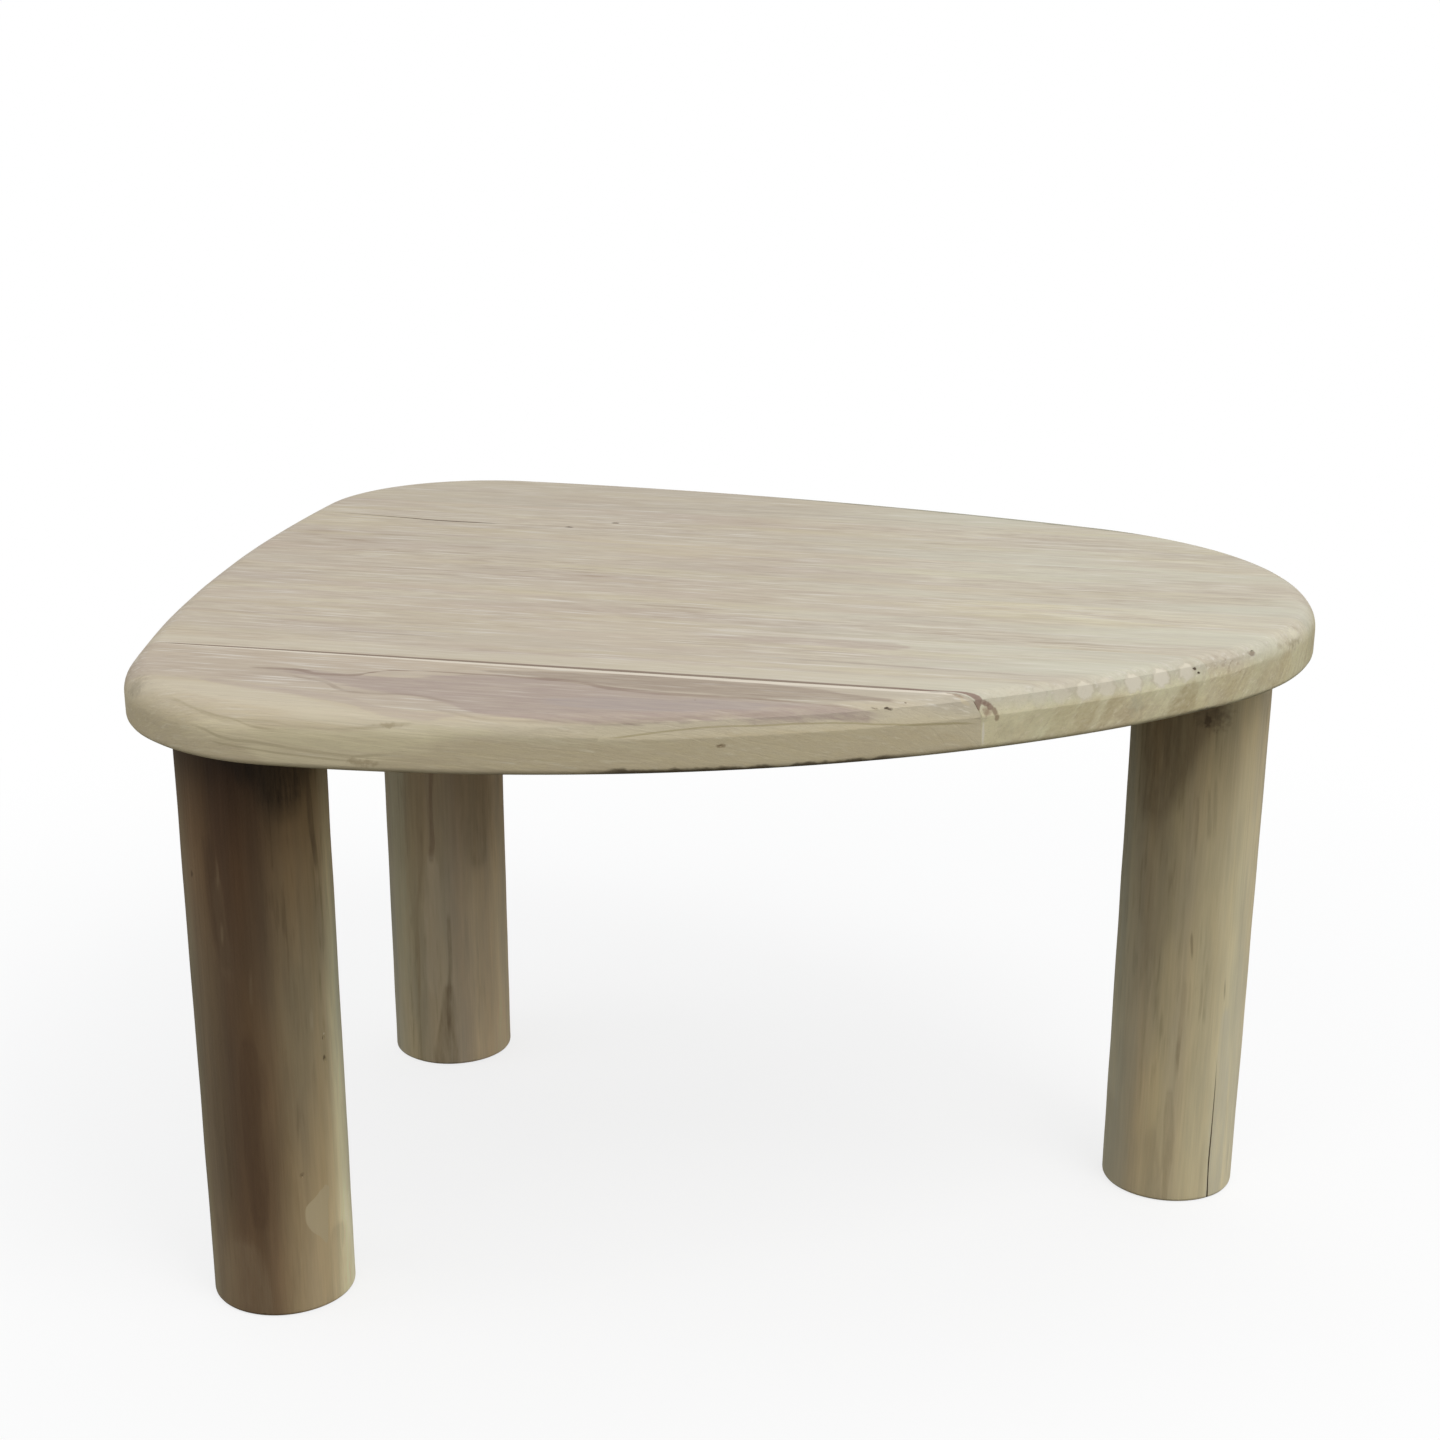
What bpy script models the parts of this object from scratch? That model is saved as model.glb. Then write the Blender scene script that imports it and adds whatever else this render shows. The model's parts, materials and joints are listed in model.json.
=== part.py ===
# Side table with a pebble-shaped top of edge-glued boards on three stout round legs.
# Metres, +Z up. +X runs along the boards, the origin is on the floor under the middle of the top.

import math

import bmesh
import bpy
from mathutils import Vector

# Driving dimensions of the whole table
table_height = 0.450
top_length = 0.766
top_depth = 0.688
top_thickness = 0.034

# Outline of the top: three corner circles joined by three slightly bulging sides
front_corner_radius = 0.132
right_corner_radius = 0.228
back_corner_radius = 0.133
front_side_radius = 0.691
back_side_radius = 1.643
left_side_radius = 1.683
front_corner_share = -0.527    # of half the length, where the front corner's centre lies
right_corner_share = 0.151     # of half the depth, where the right corner's centre lies

# Rim of the top
rim_top_round = 0.018
rim_bottom_round = 0.004

# Boards
front_board_width = 0.125
board_names = ("front_board", "second_board", "third_board", "fourth_board", "fifth_board", "back_board")

# Dowels across the glued seams
seam_names = ("front_seam", "second_seam", "third_seam", "fourth_seam", "back_seam")
dowel_diameter = 0.010
dowel_length = 0.060
dowel_chamfer = 0.001
dowel_counts = (3, 3, 4, 4, 3)
dowel_end_share = 0.200        # of the seam's length, from its end to the nearest dowel

# Legs
leg_diameter = 0.095
leg_foot_chamfer = 0.003
leg_head_chamfer = 0.001
leg_names = ("front_left_leg", "right_leg", "back_left_leg")
leg_place_shares = ((-0.502, 0.030), (0.684, 0.177), (-0.257, -0.076))   # of the corner's radius

# Hanger bolts, which screw into the legs, and the threaded inserts in the underside that take them
bolt_diameter = 0.010
bolt_metal_length = 0.019      # machine-thread end, above the leg
bolt_wood_length = 0.060       # wood-thread end, inside the leg
bolt_neck_diameter = 0.0085
bolt_neck_length = 0.006
bolt_tip_chamfer = 0.001
bolt_point_length = 0.008
insert_diameter = 0.014
insert_length = 0.022
insert_chamfer = 0.0005

# Clearances
glue_gap = 0.0003              # between the boards
fit_gap = 0.0003               # round a dowel, an insert or a bolt, and under the top
cut_overrun = 0.010            # how far a cutter reaches past the face that it cuts

# Facets
corner_steps = 20
side_steps = 8
rim_top_steps = 5
rim_bottom_steps = 2
leg_sides = 48
fastener_sides = 16
dowel_sides = 12
flat_angle = math.radians(0.5)     # faces closer to parallel than this become one
sharp_angle = math.radians(35)     # edges sharper than this are shaded hard

underside = table_height - top_thickness
leg_length = underside - fit_gap

colours = {
    "front_board": (0.52, 0.42, 0.33),
    "second_board": (0.60, 0.53, 0.41),
    "third_board": (0.56, 0.49, 0.39),
    "fourth_board": (0.53, 0.45, 0.36),
    "fifth_board": (0.57, 0.50, 0.40),
    "back_board": (0.50, 0.43, 0.33),
    "front_left_leg": (0.17, 0.12, 0.08),
    "back_left_leg": (0.24, 0.21, 0.14),
    "right_leg": (0.33, 0.28, 0.19),
    "dowel": (0.55, 0.42, 0.27),
    "hanger_bolt": (0.62, 0.63, 0.62),
    "insert": (0.66, 0.62, 0.48),
}


def clear_scene():
    for item in list(bpy.data.objects):
        bpy.data.objects.remove(item, do_unlink=True)


def make_collection(name):
    collection = bpy.data.collections.new(name)
    bpy.context.scene.collection.children.link(collection)
    return collection


def make_material(name, colour, roughness, metallic=0):
    material = bpy.data.materials.new(name)
    material.use_nodes = True
    shader = material.node_tree.nodes["Principled BSDF"]
    shader.inputs["Base Color"].default_value = (*colour, 1)
    shader.inputs["Roughness"].default_value = roughness
    shader.inputs["Metallic"].default_value = metallic
    material.diffuse_color = (*colour, 1)
    return material


def add_object(name, mesh, collection, material=None):
    item = bpy.data.objects.new(name, mesh)
    collection.objects.link(item)
    if material:
        mesh.materials.clear()
        mesh.materials.append(material)
    return item


def add_cutter(name, mesh, collection):
    cutter = add_object(name, mesh, collection)
    cutter.hide_render = True
    cutter.display_type = "WIRE"
    return cutter


def cylinder_mesh(name, diameter, length, sides):
    mesh = bpy.data.meshes.new(name)
    shape = bmesh.new()
    bmesh.ops.create_cone(shape, cap_ends=True, segments=sides, radius1=diameter / 2,
                          radius2=diameter / 2, depth=length)
    shape.to_mesh(mesh)
    shape.free()
    return mesh


def box_mesh(name, size):
    mesh = bpy.data.meshes.new(name)
    shape = bmesh.new()
    bmesh.ops.create_cube(shape, size=1)
    bmesh.ops.scale(shape, vec=size, verts=shape.verts)
    shape.to_mesh(mesh)
    shape.free()
    return mesh


def turned_object(name, profile, sides, collection, material):
    """A solid of revolution about its own Z axis, from (radius, height) points."""
    mesh = bpy.data.meshes.new(name)
    points = [(radius, 0, height) for radius, height in profile]
    mesh.from_pydata(points, [(i, i + 1) for i in range(len(points) - 1)], [])
    item = add_object(name, mesh, collection, material)
    screw = item.modifiers.new("turn", "SCREW")
    screw.steps = screw.render_steps = sides
    screw.use_merge_vertices = True
    screw.merge_threshold = 0.00001
    screw.use_smooth_shade = True
    return item


def add_cut(item, operation, **operand):
    cut = item.modifiers.new(operation.lower(), "BOOLEAN")
    cut.operation = operation
    cut.solver = "EXACT"
    if "collection" in operand:
        cut.operand_type = "COLLECTION"
        cut.collection = operand["collection"]
    else:
        cut.object = operand["object"]


def shade_round(mesh):
    mesh.shade_smooth()
    mesh.set_sharp_from_angle(angle=sharp_angle)


def outline_corners():
    """The corner circles, counter-clockwise, as (centre, radius, radius of the side that follows)."""
    half_length, half_depth = top_length / 2, top_depth / 2
    front = Vector((half_length * front_corner_share, -half_depth + front_corner_radius))
    right = Vector((half_length - right_corner_radius, half_depth * right_corner_share))
    back = Vector((-half_length + back_corner_radius, half_depth - back_corner_radius))
    return [(front, front_corner_radius, front_side_radius),
            (right, right_corner_radius, back_side_radius),
            (back, back_corner_radius, left_side_radius)]


def side_centre(first, first_radius, second, second_radius, side_radius):
    """Centre of the arc that bulges outwards and touches both corner circles from outside."""
    reach = second - first
    along = reach.normalized()
    inward = Vector((-along.y, along.x))
    to_first, to_second = side_radius - first_radius, side_radius - second_radius
    shift = (to_first ** 2 - to_second ** 2 + reach.length ** 2) / (2 * reach.length)
    return first + along * shift + inward * math.sqrt(to_first ** 2 - shift ** 2)


def arc_points(centre, radius, start, end, steps):
    """Points along an arc that turns counter-clockwise, without its last point."""
    sweep = (end - start) % math.tau
    angles = [start + sweep * step / steps for step in range(steps)]
    return [centre + Vector((math.cos(a), math.sin(a))) * radius for a in angles]


def outline_points():
    """The outline of the top as tangent arcs, counter-clockwise."""
    corners = outline_corners()
    count = len(corners)
    centres = []
    for i, (centre, radius, side_radius) in enumerate(corners):
        following, following_radius, _ = corners[(i + 1) % count]
        centres.append(side_centre(centre, radius, following, following_radius, side_radius))
    points = []
    for i, (centre, radius, side_radius) in enumerate(corners):
        before, after = centres[i - 1], centres[i]
        following = corners[(i + 1) % count][0]
        turn_in = math.atan2(*(centre - before).yx)
        turn_out = math.atan2(*(centre - after).yx)
        side_end = math.atan2(*(following - after).yx)
        points += arc_points(centre, radius, turn_in, turn_out, corner_steps)
        points += arc_points(after, side_radius, turn_out, side_end, side_steps)
    return points


def span_at(points, depth):
    """Lowest and highest X of the outline on the line Y = depth."""
    crossings = []
    for i, a in enumerate(points):
        b = points[(i + 1) % len(points)]
        if (a.y - depth) * (b.y - depth) < 0:
            crossings.append(a.x + (b.x - a.x) * (depth - a.y) / (b.y - a.y))
    return min(crossings), max(crossings)


def slab_mesh(points):
    """The whole top as one rounded slab, before it is divided into boards."""
    curve = bpy.data.curves.new("top_outline", "CURVE")
    curve.dimensions = "2D"
    curve.fill_mode = "BOTH"
    curve.extrude = top_thickness / 2
    spline = curve.splines.new("POLY")
    spline.points.add(len(points) - 1)
    for target, point in zip(spline.points, points):
        target.co = (point.x, point.y, 0, 1)
    spline.use_cyclic_u = True
    item = bpy.data.objects.new("top_outline", curve)
    bpy.context.scene.collection.objects.link(item)
    bpy.context.view_layer.update()
    mesh = bpy.data.meshes.new_from_object(item.evaluated_get(bpy.context.evaluated_depsgraph_get()))
    bpy.data.objects.remove(item, do_unlink=True)

    shape = bmesh.new()
    shape.from_mesh(mesh)
    bmesh.ops.remove_doubles(shape, verts=shape.verts, dist=glue_gap)
    bmesh.ops.dissolve_limit(shape, angle_limit=flat_angle, verts=shape.verts, edges=shape.edges)
    for side, width, steps in ((1, rim_top_round, rim_top_steps), (-1, rim_bottom_round, rim_bottom_steps)):
        level = side * top_thickness / 2
        rim = [e for e in shape.edges if all(abs(v.co.z - level) < glue_gap for v in e.verts)]
        bmesh.ops.bevel(shape, geom=rim, offset=width, segments=steps, profile=0.5, affect="EDGES",
                        clamp_overlap=False)
    bmesh.ops.recalc_face_normals(shape, faces=shape.faces)
    shape.to_mesh(mesh)
    shape.free()
    shade_round(mesh)
    return mesh


def seam_places():
    """Y of each glued seam. The boards behind the front one share the rest of the depth equally."""
    width = (top_depth - front_board_width) / (len(board_names) - 1)
    return [-top_depth / 2 + front_board_width + i * width for i in range(len(seam_names))]


def make_boards(points, parts, cutters, holes):
    slab = slab_mesh(points)
    edges = [-top_depth / 2 - cut_overrun, *seam_places(), top_depth / 2 + cut_overrun]
    strip_length = top_length + 2 * cut_overrun
    strip_height = top_thickness + 2 * cut_overrun
    for name, low, high in zip(board_names, edges[:-1], edges[1:]):
        mesh = slab.copy()
        mesh.name = name
        board = add_object(name, mesh, parts, make_material(name, colours[name], 0.6))
        board.location = (0, 0, underside + top_thickness / 2)

        strip_size = (strip_length, high - low - glue_gap, strip_height)
        strip = add_cutter(name + "_strip", box_mesh(name + "_strip", strip_size), cutters)
        strip.location = (0, (low + high) / 2, underside + top_thickness / 2)
        add_cut(board, "INTERSECT", object=strip)
        add_cut(board, "DIFFERENCE", collection=holes)
    bpy.data.meshes.remove(slab)


def leg_places():
    """Each leg's place along and across the top, near the centre of its corner circle."""
    return [centre + Vector(shares) * radius
            for (centre, radius, _), shares in zip(outline_corners(), leg_place_shares)]


def dowel_places(points):
    """Each dowel's name and its place along and across the top."""
    places = []
    for name, depth, count in zip(seam_names, seam_places(), dowel_counts):
        left, right = span_at(points, depth)
        first = left + (right - left) * dowel_end_share
        pitch = (right - left) * (1 - 2 * dowel_end_share) / (count - 1)
        places += [(f"{name}_dowel_{i + 1}", first + pitch * i, depth) for i in range(count)]
    return places


def make_dowels(points, parts, holes):
    """Round pins with chamfered ends that lie across the seams at half the thickness, in blind holes."""
    material = make_material("dowel", colours["dowel"], 0.6)
    radius, half = dowel_diameter / 2, dowel_length / 2
    profile = [(0, half), (radius - dowel_chamfer, half), (radius, half - dowel_chamfer),
               (radius, dowel_chamfer - half), (radius - dowel_chamfer, -half), (0, -half)]
    hole = cylinder_mesh("dowel_hole", dowel_diameter + 2 * fit_gap, dowel_length + 2 * fit_gap, dowel_sides)
    for name, along, across in dowel_places(points):
        place = (along, across, underside + top_thickness / 2)
        dowel = turned_object(name, profile, dowel_sides, parts, material)
        cutter = add_cutter(name + "_hole", hole, holes)
        for item in (dowel, cutter):
            item.location = place
            item.rotation_euler = (math.pi / 2, 0, 0)


def make_leg(name, along, across, parts, cutters, holes):
    """A turned leg, the hanger bolt in its head and the threaded insert above it."""
    base = name.removesuffix("_leg")
    anchor = bpy.data.objects.new(name + "_axis", None)
    parts.objects.link(anchor)
    anchor.location = (along, across, 0)

    radius = leg_diameter / 2
    leg = turned_object(name, [
        (0, leg_length), (radius - leg_head_chamfer, leg_length), (radius, leg_length - leg_head_chamfer),
        (radius, leg_foot_chamfer), (radius - leg_foot_chamfer, 0), (0, 0)],
        leg_sides, parts, make_material(name, colours[name], 0.65))
    leg.parent = anchor

    pilot_depth = bolt_wood_length + fit_gap
    pilot_length = pilot_depth + cut_overrun
    pilot = add_cutter(name + "_pilot_hole", cylinder_mesh(
        name + "_pilot_hole", bolt_diameter + 2 * fit_gap, pilot_length, fastener_sides), cutters)
    pilot.location.z = leg_length - pilot_depth + pilot_length / 2
    pilot.parent = anchor
    add_cut(leg, "DIFFERENCE", object=pilot)

    bolt_radius, neck_radius = bolt_diameter / 2, bolt_neck_diameter / 2
    bolt = turned_object(base + "_hanger_bolt", [
        (0, bolt_metal_length), (bolt_radius - bolt_tip_chamfer, bolt_metal_length),
        (bolt_radius, bolt_metal_length - bolt_tip_chamfer),
        (bolt_radius, 0), (neck_radius, 0), (neck_radius, -bolt_neck_length),
        (bolt_radius, -bolt_neck_length), (bolt_radius, bolt_point_length - bolt_wood_length),
        (0, -bolt_wood_length)],
        fastener_sides, parts, make_material(base + "_hanger_bolt", colours["hanger_bolt"], 0.35, 1))
    bolt.location.z = leg_length
    bolt.parent = anchor

    outer, bore = insert_diameter / 2, bolt_radius + fit_gap
    insert = turned_object(base + "_insert", [
        (bore, 0), (bore, insert_length), (outer - insert_chamfer, insert_length),
        (outer, insert_length - insert_chamfer), (outer, insert_chamfer), (outer - insert_chamfer, 0),
        (bore, 0)],
        fastener_sides, parts, make_material(base + "_insert", colours["insert"], 0.35, 1))
    insert.location.z = underside
    insert.parent = anchor

    socket_depth = insert_length + fit_gap
    socket_length = socket_depth + cut_overrun
    socket = add_cutter(base + "_insert_hole", cylinder_mesh(
        base + "_insert_hole", insert_diameter + 2 * fit_gap, socket_length, fastener_sides), holes)
    socket.location.z = underside + socket_depth - socket_length / 2
    socket.parent = anchor


def build_table():
    clear_scene()
    parts = make_collection("side_table")
    cutters = make_collection("cutters")
    holes = make_collection("hole_cutters")
    points = outline_points()
    make_dowels(points, parts, holes)
    for name, (along, across) in zip(leg_names, leg_places()):
        make_leg(name, along, across, parts, cutters, holes)
    make_boards(points, parts, cutters, holes)
    bpy.context.view_layer.update()
    print("side table:", len([o for o in parts.objects if o.type == "MESH"]), "pieces")


build_table()
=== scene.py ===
# Side table: a pebble-shaped top of glued boards with a rounded rim, on three stout round legs.
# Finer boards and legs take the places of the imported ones; dowels, bolts and inserts stay as packed.
import json
import math

import bmesh
import bpy
from mathutils import Matrix, Vector

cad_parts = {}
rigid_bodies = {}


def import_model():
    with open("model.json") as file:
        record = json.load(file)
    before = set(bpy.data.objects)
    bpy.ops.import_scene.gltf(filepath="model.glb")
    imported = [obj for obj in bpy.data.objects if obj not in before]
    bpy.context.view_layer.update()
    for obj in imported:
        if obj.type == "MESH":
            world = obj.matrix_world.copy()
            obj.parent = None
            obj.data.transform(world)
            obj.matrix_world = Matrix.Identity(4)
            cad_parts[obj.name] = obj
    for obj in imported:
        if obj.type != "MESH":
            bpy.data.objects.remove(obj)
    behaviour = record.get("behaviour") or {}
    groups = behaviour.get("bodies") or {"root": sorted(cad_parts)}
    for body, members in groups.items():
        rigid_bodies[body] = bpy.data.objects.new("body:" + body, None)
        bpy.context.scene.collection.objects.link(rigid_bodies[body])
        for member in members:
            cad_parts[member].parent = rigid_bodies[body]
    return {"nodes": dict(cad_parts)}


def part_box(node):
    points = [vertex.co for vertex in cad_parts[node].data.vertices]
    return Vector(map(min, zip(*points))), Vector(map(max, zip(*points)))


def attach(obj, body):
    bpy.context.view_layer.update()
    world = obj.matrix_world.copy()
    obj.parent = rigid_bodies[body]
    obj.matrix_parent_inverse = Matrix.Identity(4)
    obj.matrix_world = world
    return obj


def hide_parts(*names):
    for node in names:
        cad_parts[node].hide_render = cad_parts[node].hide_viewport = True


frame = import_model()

scene = bpy.context.scene
bpy.context.view_layer.update()
tiny = 0.0001                                       # metres: closer than this is the same place


def metres(values):
    # lengths in millimetres become metres
    return tuple(value / 1000 for value in values)


def selectNothing():
    if bpy.context.object and bpy.context.object.mode != "OBJECT":
        bpy.ops.object.mode_set(mode="OBJECT")
    for item in scene.objects:
        item.select_set(False)


def takeUp(piece):
    selectNothing()
    piece.select_set(True)
    bpy.context.view_layer.objects.active = piece


def startEdit(piece):
    takeUp(piece)
    bpy.ops.object.mode_set(mode="EDIT")


def endEdit():
    bpy.ops.object.mode_set(mode="OBJECT")


def pick(kind, test):
    # selects the vertices, edges or faces that pass the test, and nothing else
    bpy.ops.mesh.select_all(action="DESELECT")
    bpy.ops.mesh.select_mode(type={"verts": "VERT", "edges": "EDGE", "faces": "FACE"}[kind])
    mesh = bpy.context.object.data
    shape = bmesh.from_edit_mesh(mesh)
    for part in getattr(shape, kind):
        if test(part):
            part.select_set(True)
    shape.select_flush_mode()
    bmesh.update_edit_mesh(mesh)


def sliceThrough(place, normal, cutOff=False, threshold=tiny):
    # a flat cut right through; with cutOff, what the normal points to is taken away
    bpy.ops.mesh.select_all(action="SELECT")
    bpy.ops.mesh.bisect(plane_co=place, plane_no=normal, clear_outer=cutOff, use_fill=cutOff,
                        threshold=threshold)


def facesOutwards():
    bpy.ops.mesh.select_all(action="SELECT")
    bpy.ops.mesh.normals_make_consistent(inside=False)


def mergeDoubles(distance=tiny / 10):
    bpy.ops.mesh.select_all(action="SELECT")
    bpy.ops.mesh.remove_doubles(threshold=distance)


def newest(name):
    piece = bpy.context.object
    piece.name = piece.data.name = name
    return piece


def copyOf(piece, name):
    twin = piece.copy()
    twin.data = piece.data.copy()
    twin.name = twin.data.name = name
    scene.collection.objects.link(twin)
    return twin


def applyAll(piece):
    takeUp(piece)
    for modifier in list(piece.modifiers):
        bpy.ops.object.modifier_apply(modifier=modifier.name)


def settle(piece):
    # the place goes into the mesh, and the object itself sits at the origin
    takeUp(piece)
    bpy.ops.object.transform_apply(location=True, rotation=True, scale=True)


def joined(pieces, name):
    selectNothing()
    for piece in pieces:
        piece.select_set(True)
    bpy.context.view_layer.objects.active = pieces[0]
    bpy.ops.object.join()
    return newest(name)


def cutAway(piece, cutter):
    cut = piece.modifiers.new("cut", "BOOLEAN")
    cut.operation, cut.solver, cut.object = "DIFFERENCE", "EXACT", cutter
    before = len(piece.data.polygons)
    applyAll(piece)
    if len(piece.data.polygons) < before:
        raise RuntimeError("the cut took faces away from " + piece.name)


def weigh(piece, name, weights):
    # a vertex group from a dictionary of vertex number: weight
    group = piece.vertex_groups.new(name=name)
    for index, weight in weights.items():
        group.add([index], weight, "REPLACE")


def roughen(piece, name, weights, size, detail, amount):
    # slight unevenness, as sanding by hand leaves it; it only takes wood away
    weigh(piece, name, weights)
    clouds = bpy.data.textures.new(name, "CLOUDS")
    clouds.noise_scale, clouds.noise_depth = size, detail
    push = piece.modifiers.new(name, "DISPLACE")
    push.texture, push.texture_coords, push.vertex_group = clouds, "LOCAL", name
    push.mid_level, push.strength = 1, amount
    applyAll(piece)


def discard(*pieces):
    for piece in pieces:
        bpy.data.objects.remove(piece, do_unlink=True)


# camera

cameraView = {
    "place": (0.3408, -1.5742, 0.8365),
    "forward": (-0.20397, 0.91251, -0.35457),
    "roll": 0.192,                                  # degrees
    "lens": 60.87, "sensor": 36, "rise": 0.125,
    "near": 0.05, "far": 50,
}


def makeCamera():
    data = bpy.data.cameras.new("photoCamera")
    data.lens, data.sensor_width, data.shift_y = cameraView["lens"], cameraView["sensor"], cameraView["rise"]
    data.sensor_fit = "HORIZONTAL"
    data.clip_start, data.clip_end = cameraView["near"], cameraView["far"]
    camera = bpy.data.objects.new("photoCamera", data)
    scene.collection.objects.link(camera)
    camera.location = cameraView["place"]
    camera.rotation_euler = Vector(cameraView["forward"]).to_track_quat("-Z", "Y").to_euler()
    camera.rotation_euler.rotate_axis("Z", math.radians(cameraView["roll"]))
    scene.camera = camera


makeCamera()
print("camera placed")

# the top, first as one slab

boardNames = ["front_board", "second_board", "third_board", "fourth_board", "fifth_board", "back_board"]
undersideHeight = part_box("front_board")[0].z
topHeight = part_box("front_board")[1].z

topShape = {
    "corners": [                                    # centre and radius of each corner circle
        ((-0.2018, -0.2120), 0.132), ((0.1550, 0.0519), 0.228), ((-0.2500, 0.2110), 0.133)],
    "sides": [0.691, 1.643, 1.683],                 # radius of the side after each corner
    "cornerSteps": 64, "sideSteps": 44,
    "inset": 0.0003,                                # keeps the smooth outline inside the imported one
    "topRound": 0.018, "topRoundSteps": 14,
    "bottomRound": 0.004, "bottomRoundSteps": 4,
    "rimRows": 5,
    "sanding": 0.0009, "sandingSize": 0.055,        # unevenness left by sanding by hand
    "sandingDepth": 0.007,                          # it grows from the top down to here
}


def sideCentre(start, startRadius, end, endRadius, radius):
    # centre of the side's arc, which runs smoothly into both corner circles
    reach = end - start
    along = reach.normalized()
    first, second = radius - startRadius, radius - endRadius
    shift = (first ** 2 - second ** 2 + reach.length ** 2) / (2 * reach.length)
    return start + along * shift + Vector((-along.y, along.x)) * math.sqrt(first ** 2 - shift ** 2)


def outlineArcs():
    # centre, start point, angle and steps of each of the six arcs, counter-clockwise
    inset = topShape["inset"]
    corners = [(Vector(place), radius - inset) for place, radius in topShape["corners"]]
    sides = [radius - inset for radius in topShape["sides"]]
    centres = [sideCentre(*corners[i], *corners[(i + 1) % 3], sides[i]) for i in range(3)]
    arcs = []
    for i, (corner, radius) in enumerate(corners):
        before, after, following = centres[i - 1], centres[i], corners[(i + 1) % 3][0]
        turnIn, turnOut = (corner - before).normalized(), (corner - after).normalized()
        sideEnd = (following - after).normalized()
        for centre, size, a, b, steps in (
                (corner, radius, turnIn, turnOut, topShape["cornerSteps"]),
                (after, sides[i], turnOut, sideEnd, topShape["sideSteps"])):
            sweep = math.atan2(a.x * b.y - a.y * b.x, a.dot(b)) % math.tau
            arcs.append((centre, centre + a * size, sweep, steps))
    return arcs


def makeSlab():
    arcs = outlineArcs()
    first = arcs[0][1]
    # one corner of a small plane, spun along the arcs
    bpy.ops.mesh.primitive_plane_add(size=0.01, location=(0, 0, 0))
    slab = newest("slab")
    startEdit(slab)
    pick("verts", lambda v: v.index > 0)
    bpy.ops.mesh.delete(type="VERT")
    bpy.ops.mesh.select_all(action="SELECT")
    corner = bmesh.from_edit_mesh(slab.data).verts
    corner.ensure_lookup_table()
    bpy.ops.transform.translate(value=(first.x - corner[0].co.x, first.y - corner[0].co.y, undersideHeight))
    for centre, _, sweep, steps in arcs:
        bpy.ops.mesh.spin(steps=steps, angle=-sweep, center=(centre.x, centre.y, undersideHeight),
                          axis=(0, 0, 1))
    mergeDoubles()
    bpy.ops.mesh.edge_face_add()
    bpy.ops.mesh.extrude_region_move(TRANSFORM_OT_translate={"value": (0, 0, topHeight - undersideHeight)})
    facesOutwards()
    for level, size, steps in (
            (topHeight, topShape["topRound"], topShape["topRoundSteps"]),
            (undersideHeight, topShape["bottomRound"], topShape["bottomRoundSteps"])):
        pick("edges", lambda e: all(abs(v.co.z - level) < tiny for v in e.verts))
        bpy.ops.mesh.bevel(offset=size, segments=steps, profile=0.5, affect="EDGES", clamp_overlap=False)
    low, high = undersideHeight + topShape["bottomRound"], topHeight - topShape["topRound"]
    for row in range(1, topShape["rimRows"]):
        sliceThrough((0, 0, low + (high - low) * row / topShape["rimRows"]), (0, 0, 1))
    facesOutwards()
    endEdit()
    return slab


slab = makeSlab()
print("slab:", len(slab.data.vertices), "points", [round(v, 5) for v in slab.dimensions])

shoulder = {
    # the front right of the rim has a tighter round, which meets the upright side in a soft edge;
    # a direction is where the rim faces, in degrees, counter-clockwise from X
    "round": 0.012, "starts": (-100, -78), "ends": (-20, 15),
    "slope": 70, "step": 1.5,                       # of the flat cuts that leave the edge
    "edge": [                                       # direction, and depth of the edge below the top
        (-77, 0.010), (-72, 0.0125), (-60, 0.013), (-45, 0.013), (-36, 0.0115), (-30, 0.0100)],
    "fineness": 0.000002, "smallest": 0.00002,      # of the cuts, and of the edges that they leave
}


def blend(value, low, high):
    # 0 below low, 1 above high and a smooth rise between
    share = min(1, max(0, (value - low) / (high - low)))
    return share * share * (3 - 2 * share)


def tightenRound():
    wide, spare = topShape["topRound"], topShape["topRound"] - shoulder["round"]
    pushes = {}
    for vertex in slab.data.vertices:
        depth = topHeight - vertex.co.z
        if tiny / 10 < depth < wide - tiny / 10:
            turn = math.acos(1 - depth / wide)
            reach = wide / max(math.cos(turn), math.sin(turn))
            if min(math.tan(turn), 1 / math.tan(turn)) > spare / wide:
                reach = spare * (math.sin(turn) + math.cos(turn)) + math.sqrt(
                    shoulder["round"] ** 2 - spare ** 2 * (1 - math.sin(2 * turn)))
            direction = math.degrees(math.atan2(vertex.normal.y, vertex.normal.x))
            share = blend(direction, *shoulder["starts"]) * (1 - blend(direction, *shoulder["ends"]))
            pushes[vertex.index] = (reach - wide) * share
    most = max(pushes.values())
    weigh(slab, "shoulder", {index: push / most for index, push in pushes.items()})
    swell = slab.modifiers.new("shoulder", "DISPLACE")
    swell.vertex_group, swell.mid_level, swell.strength = "shoulder", 0, most
    applyAll(slab)


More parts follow.
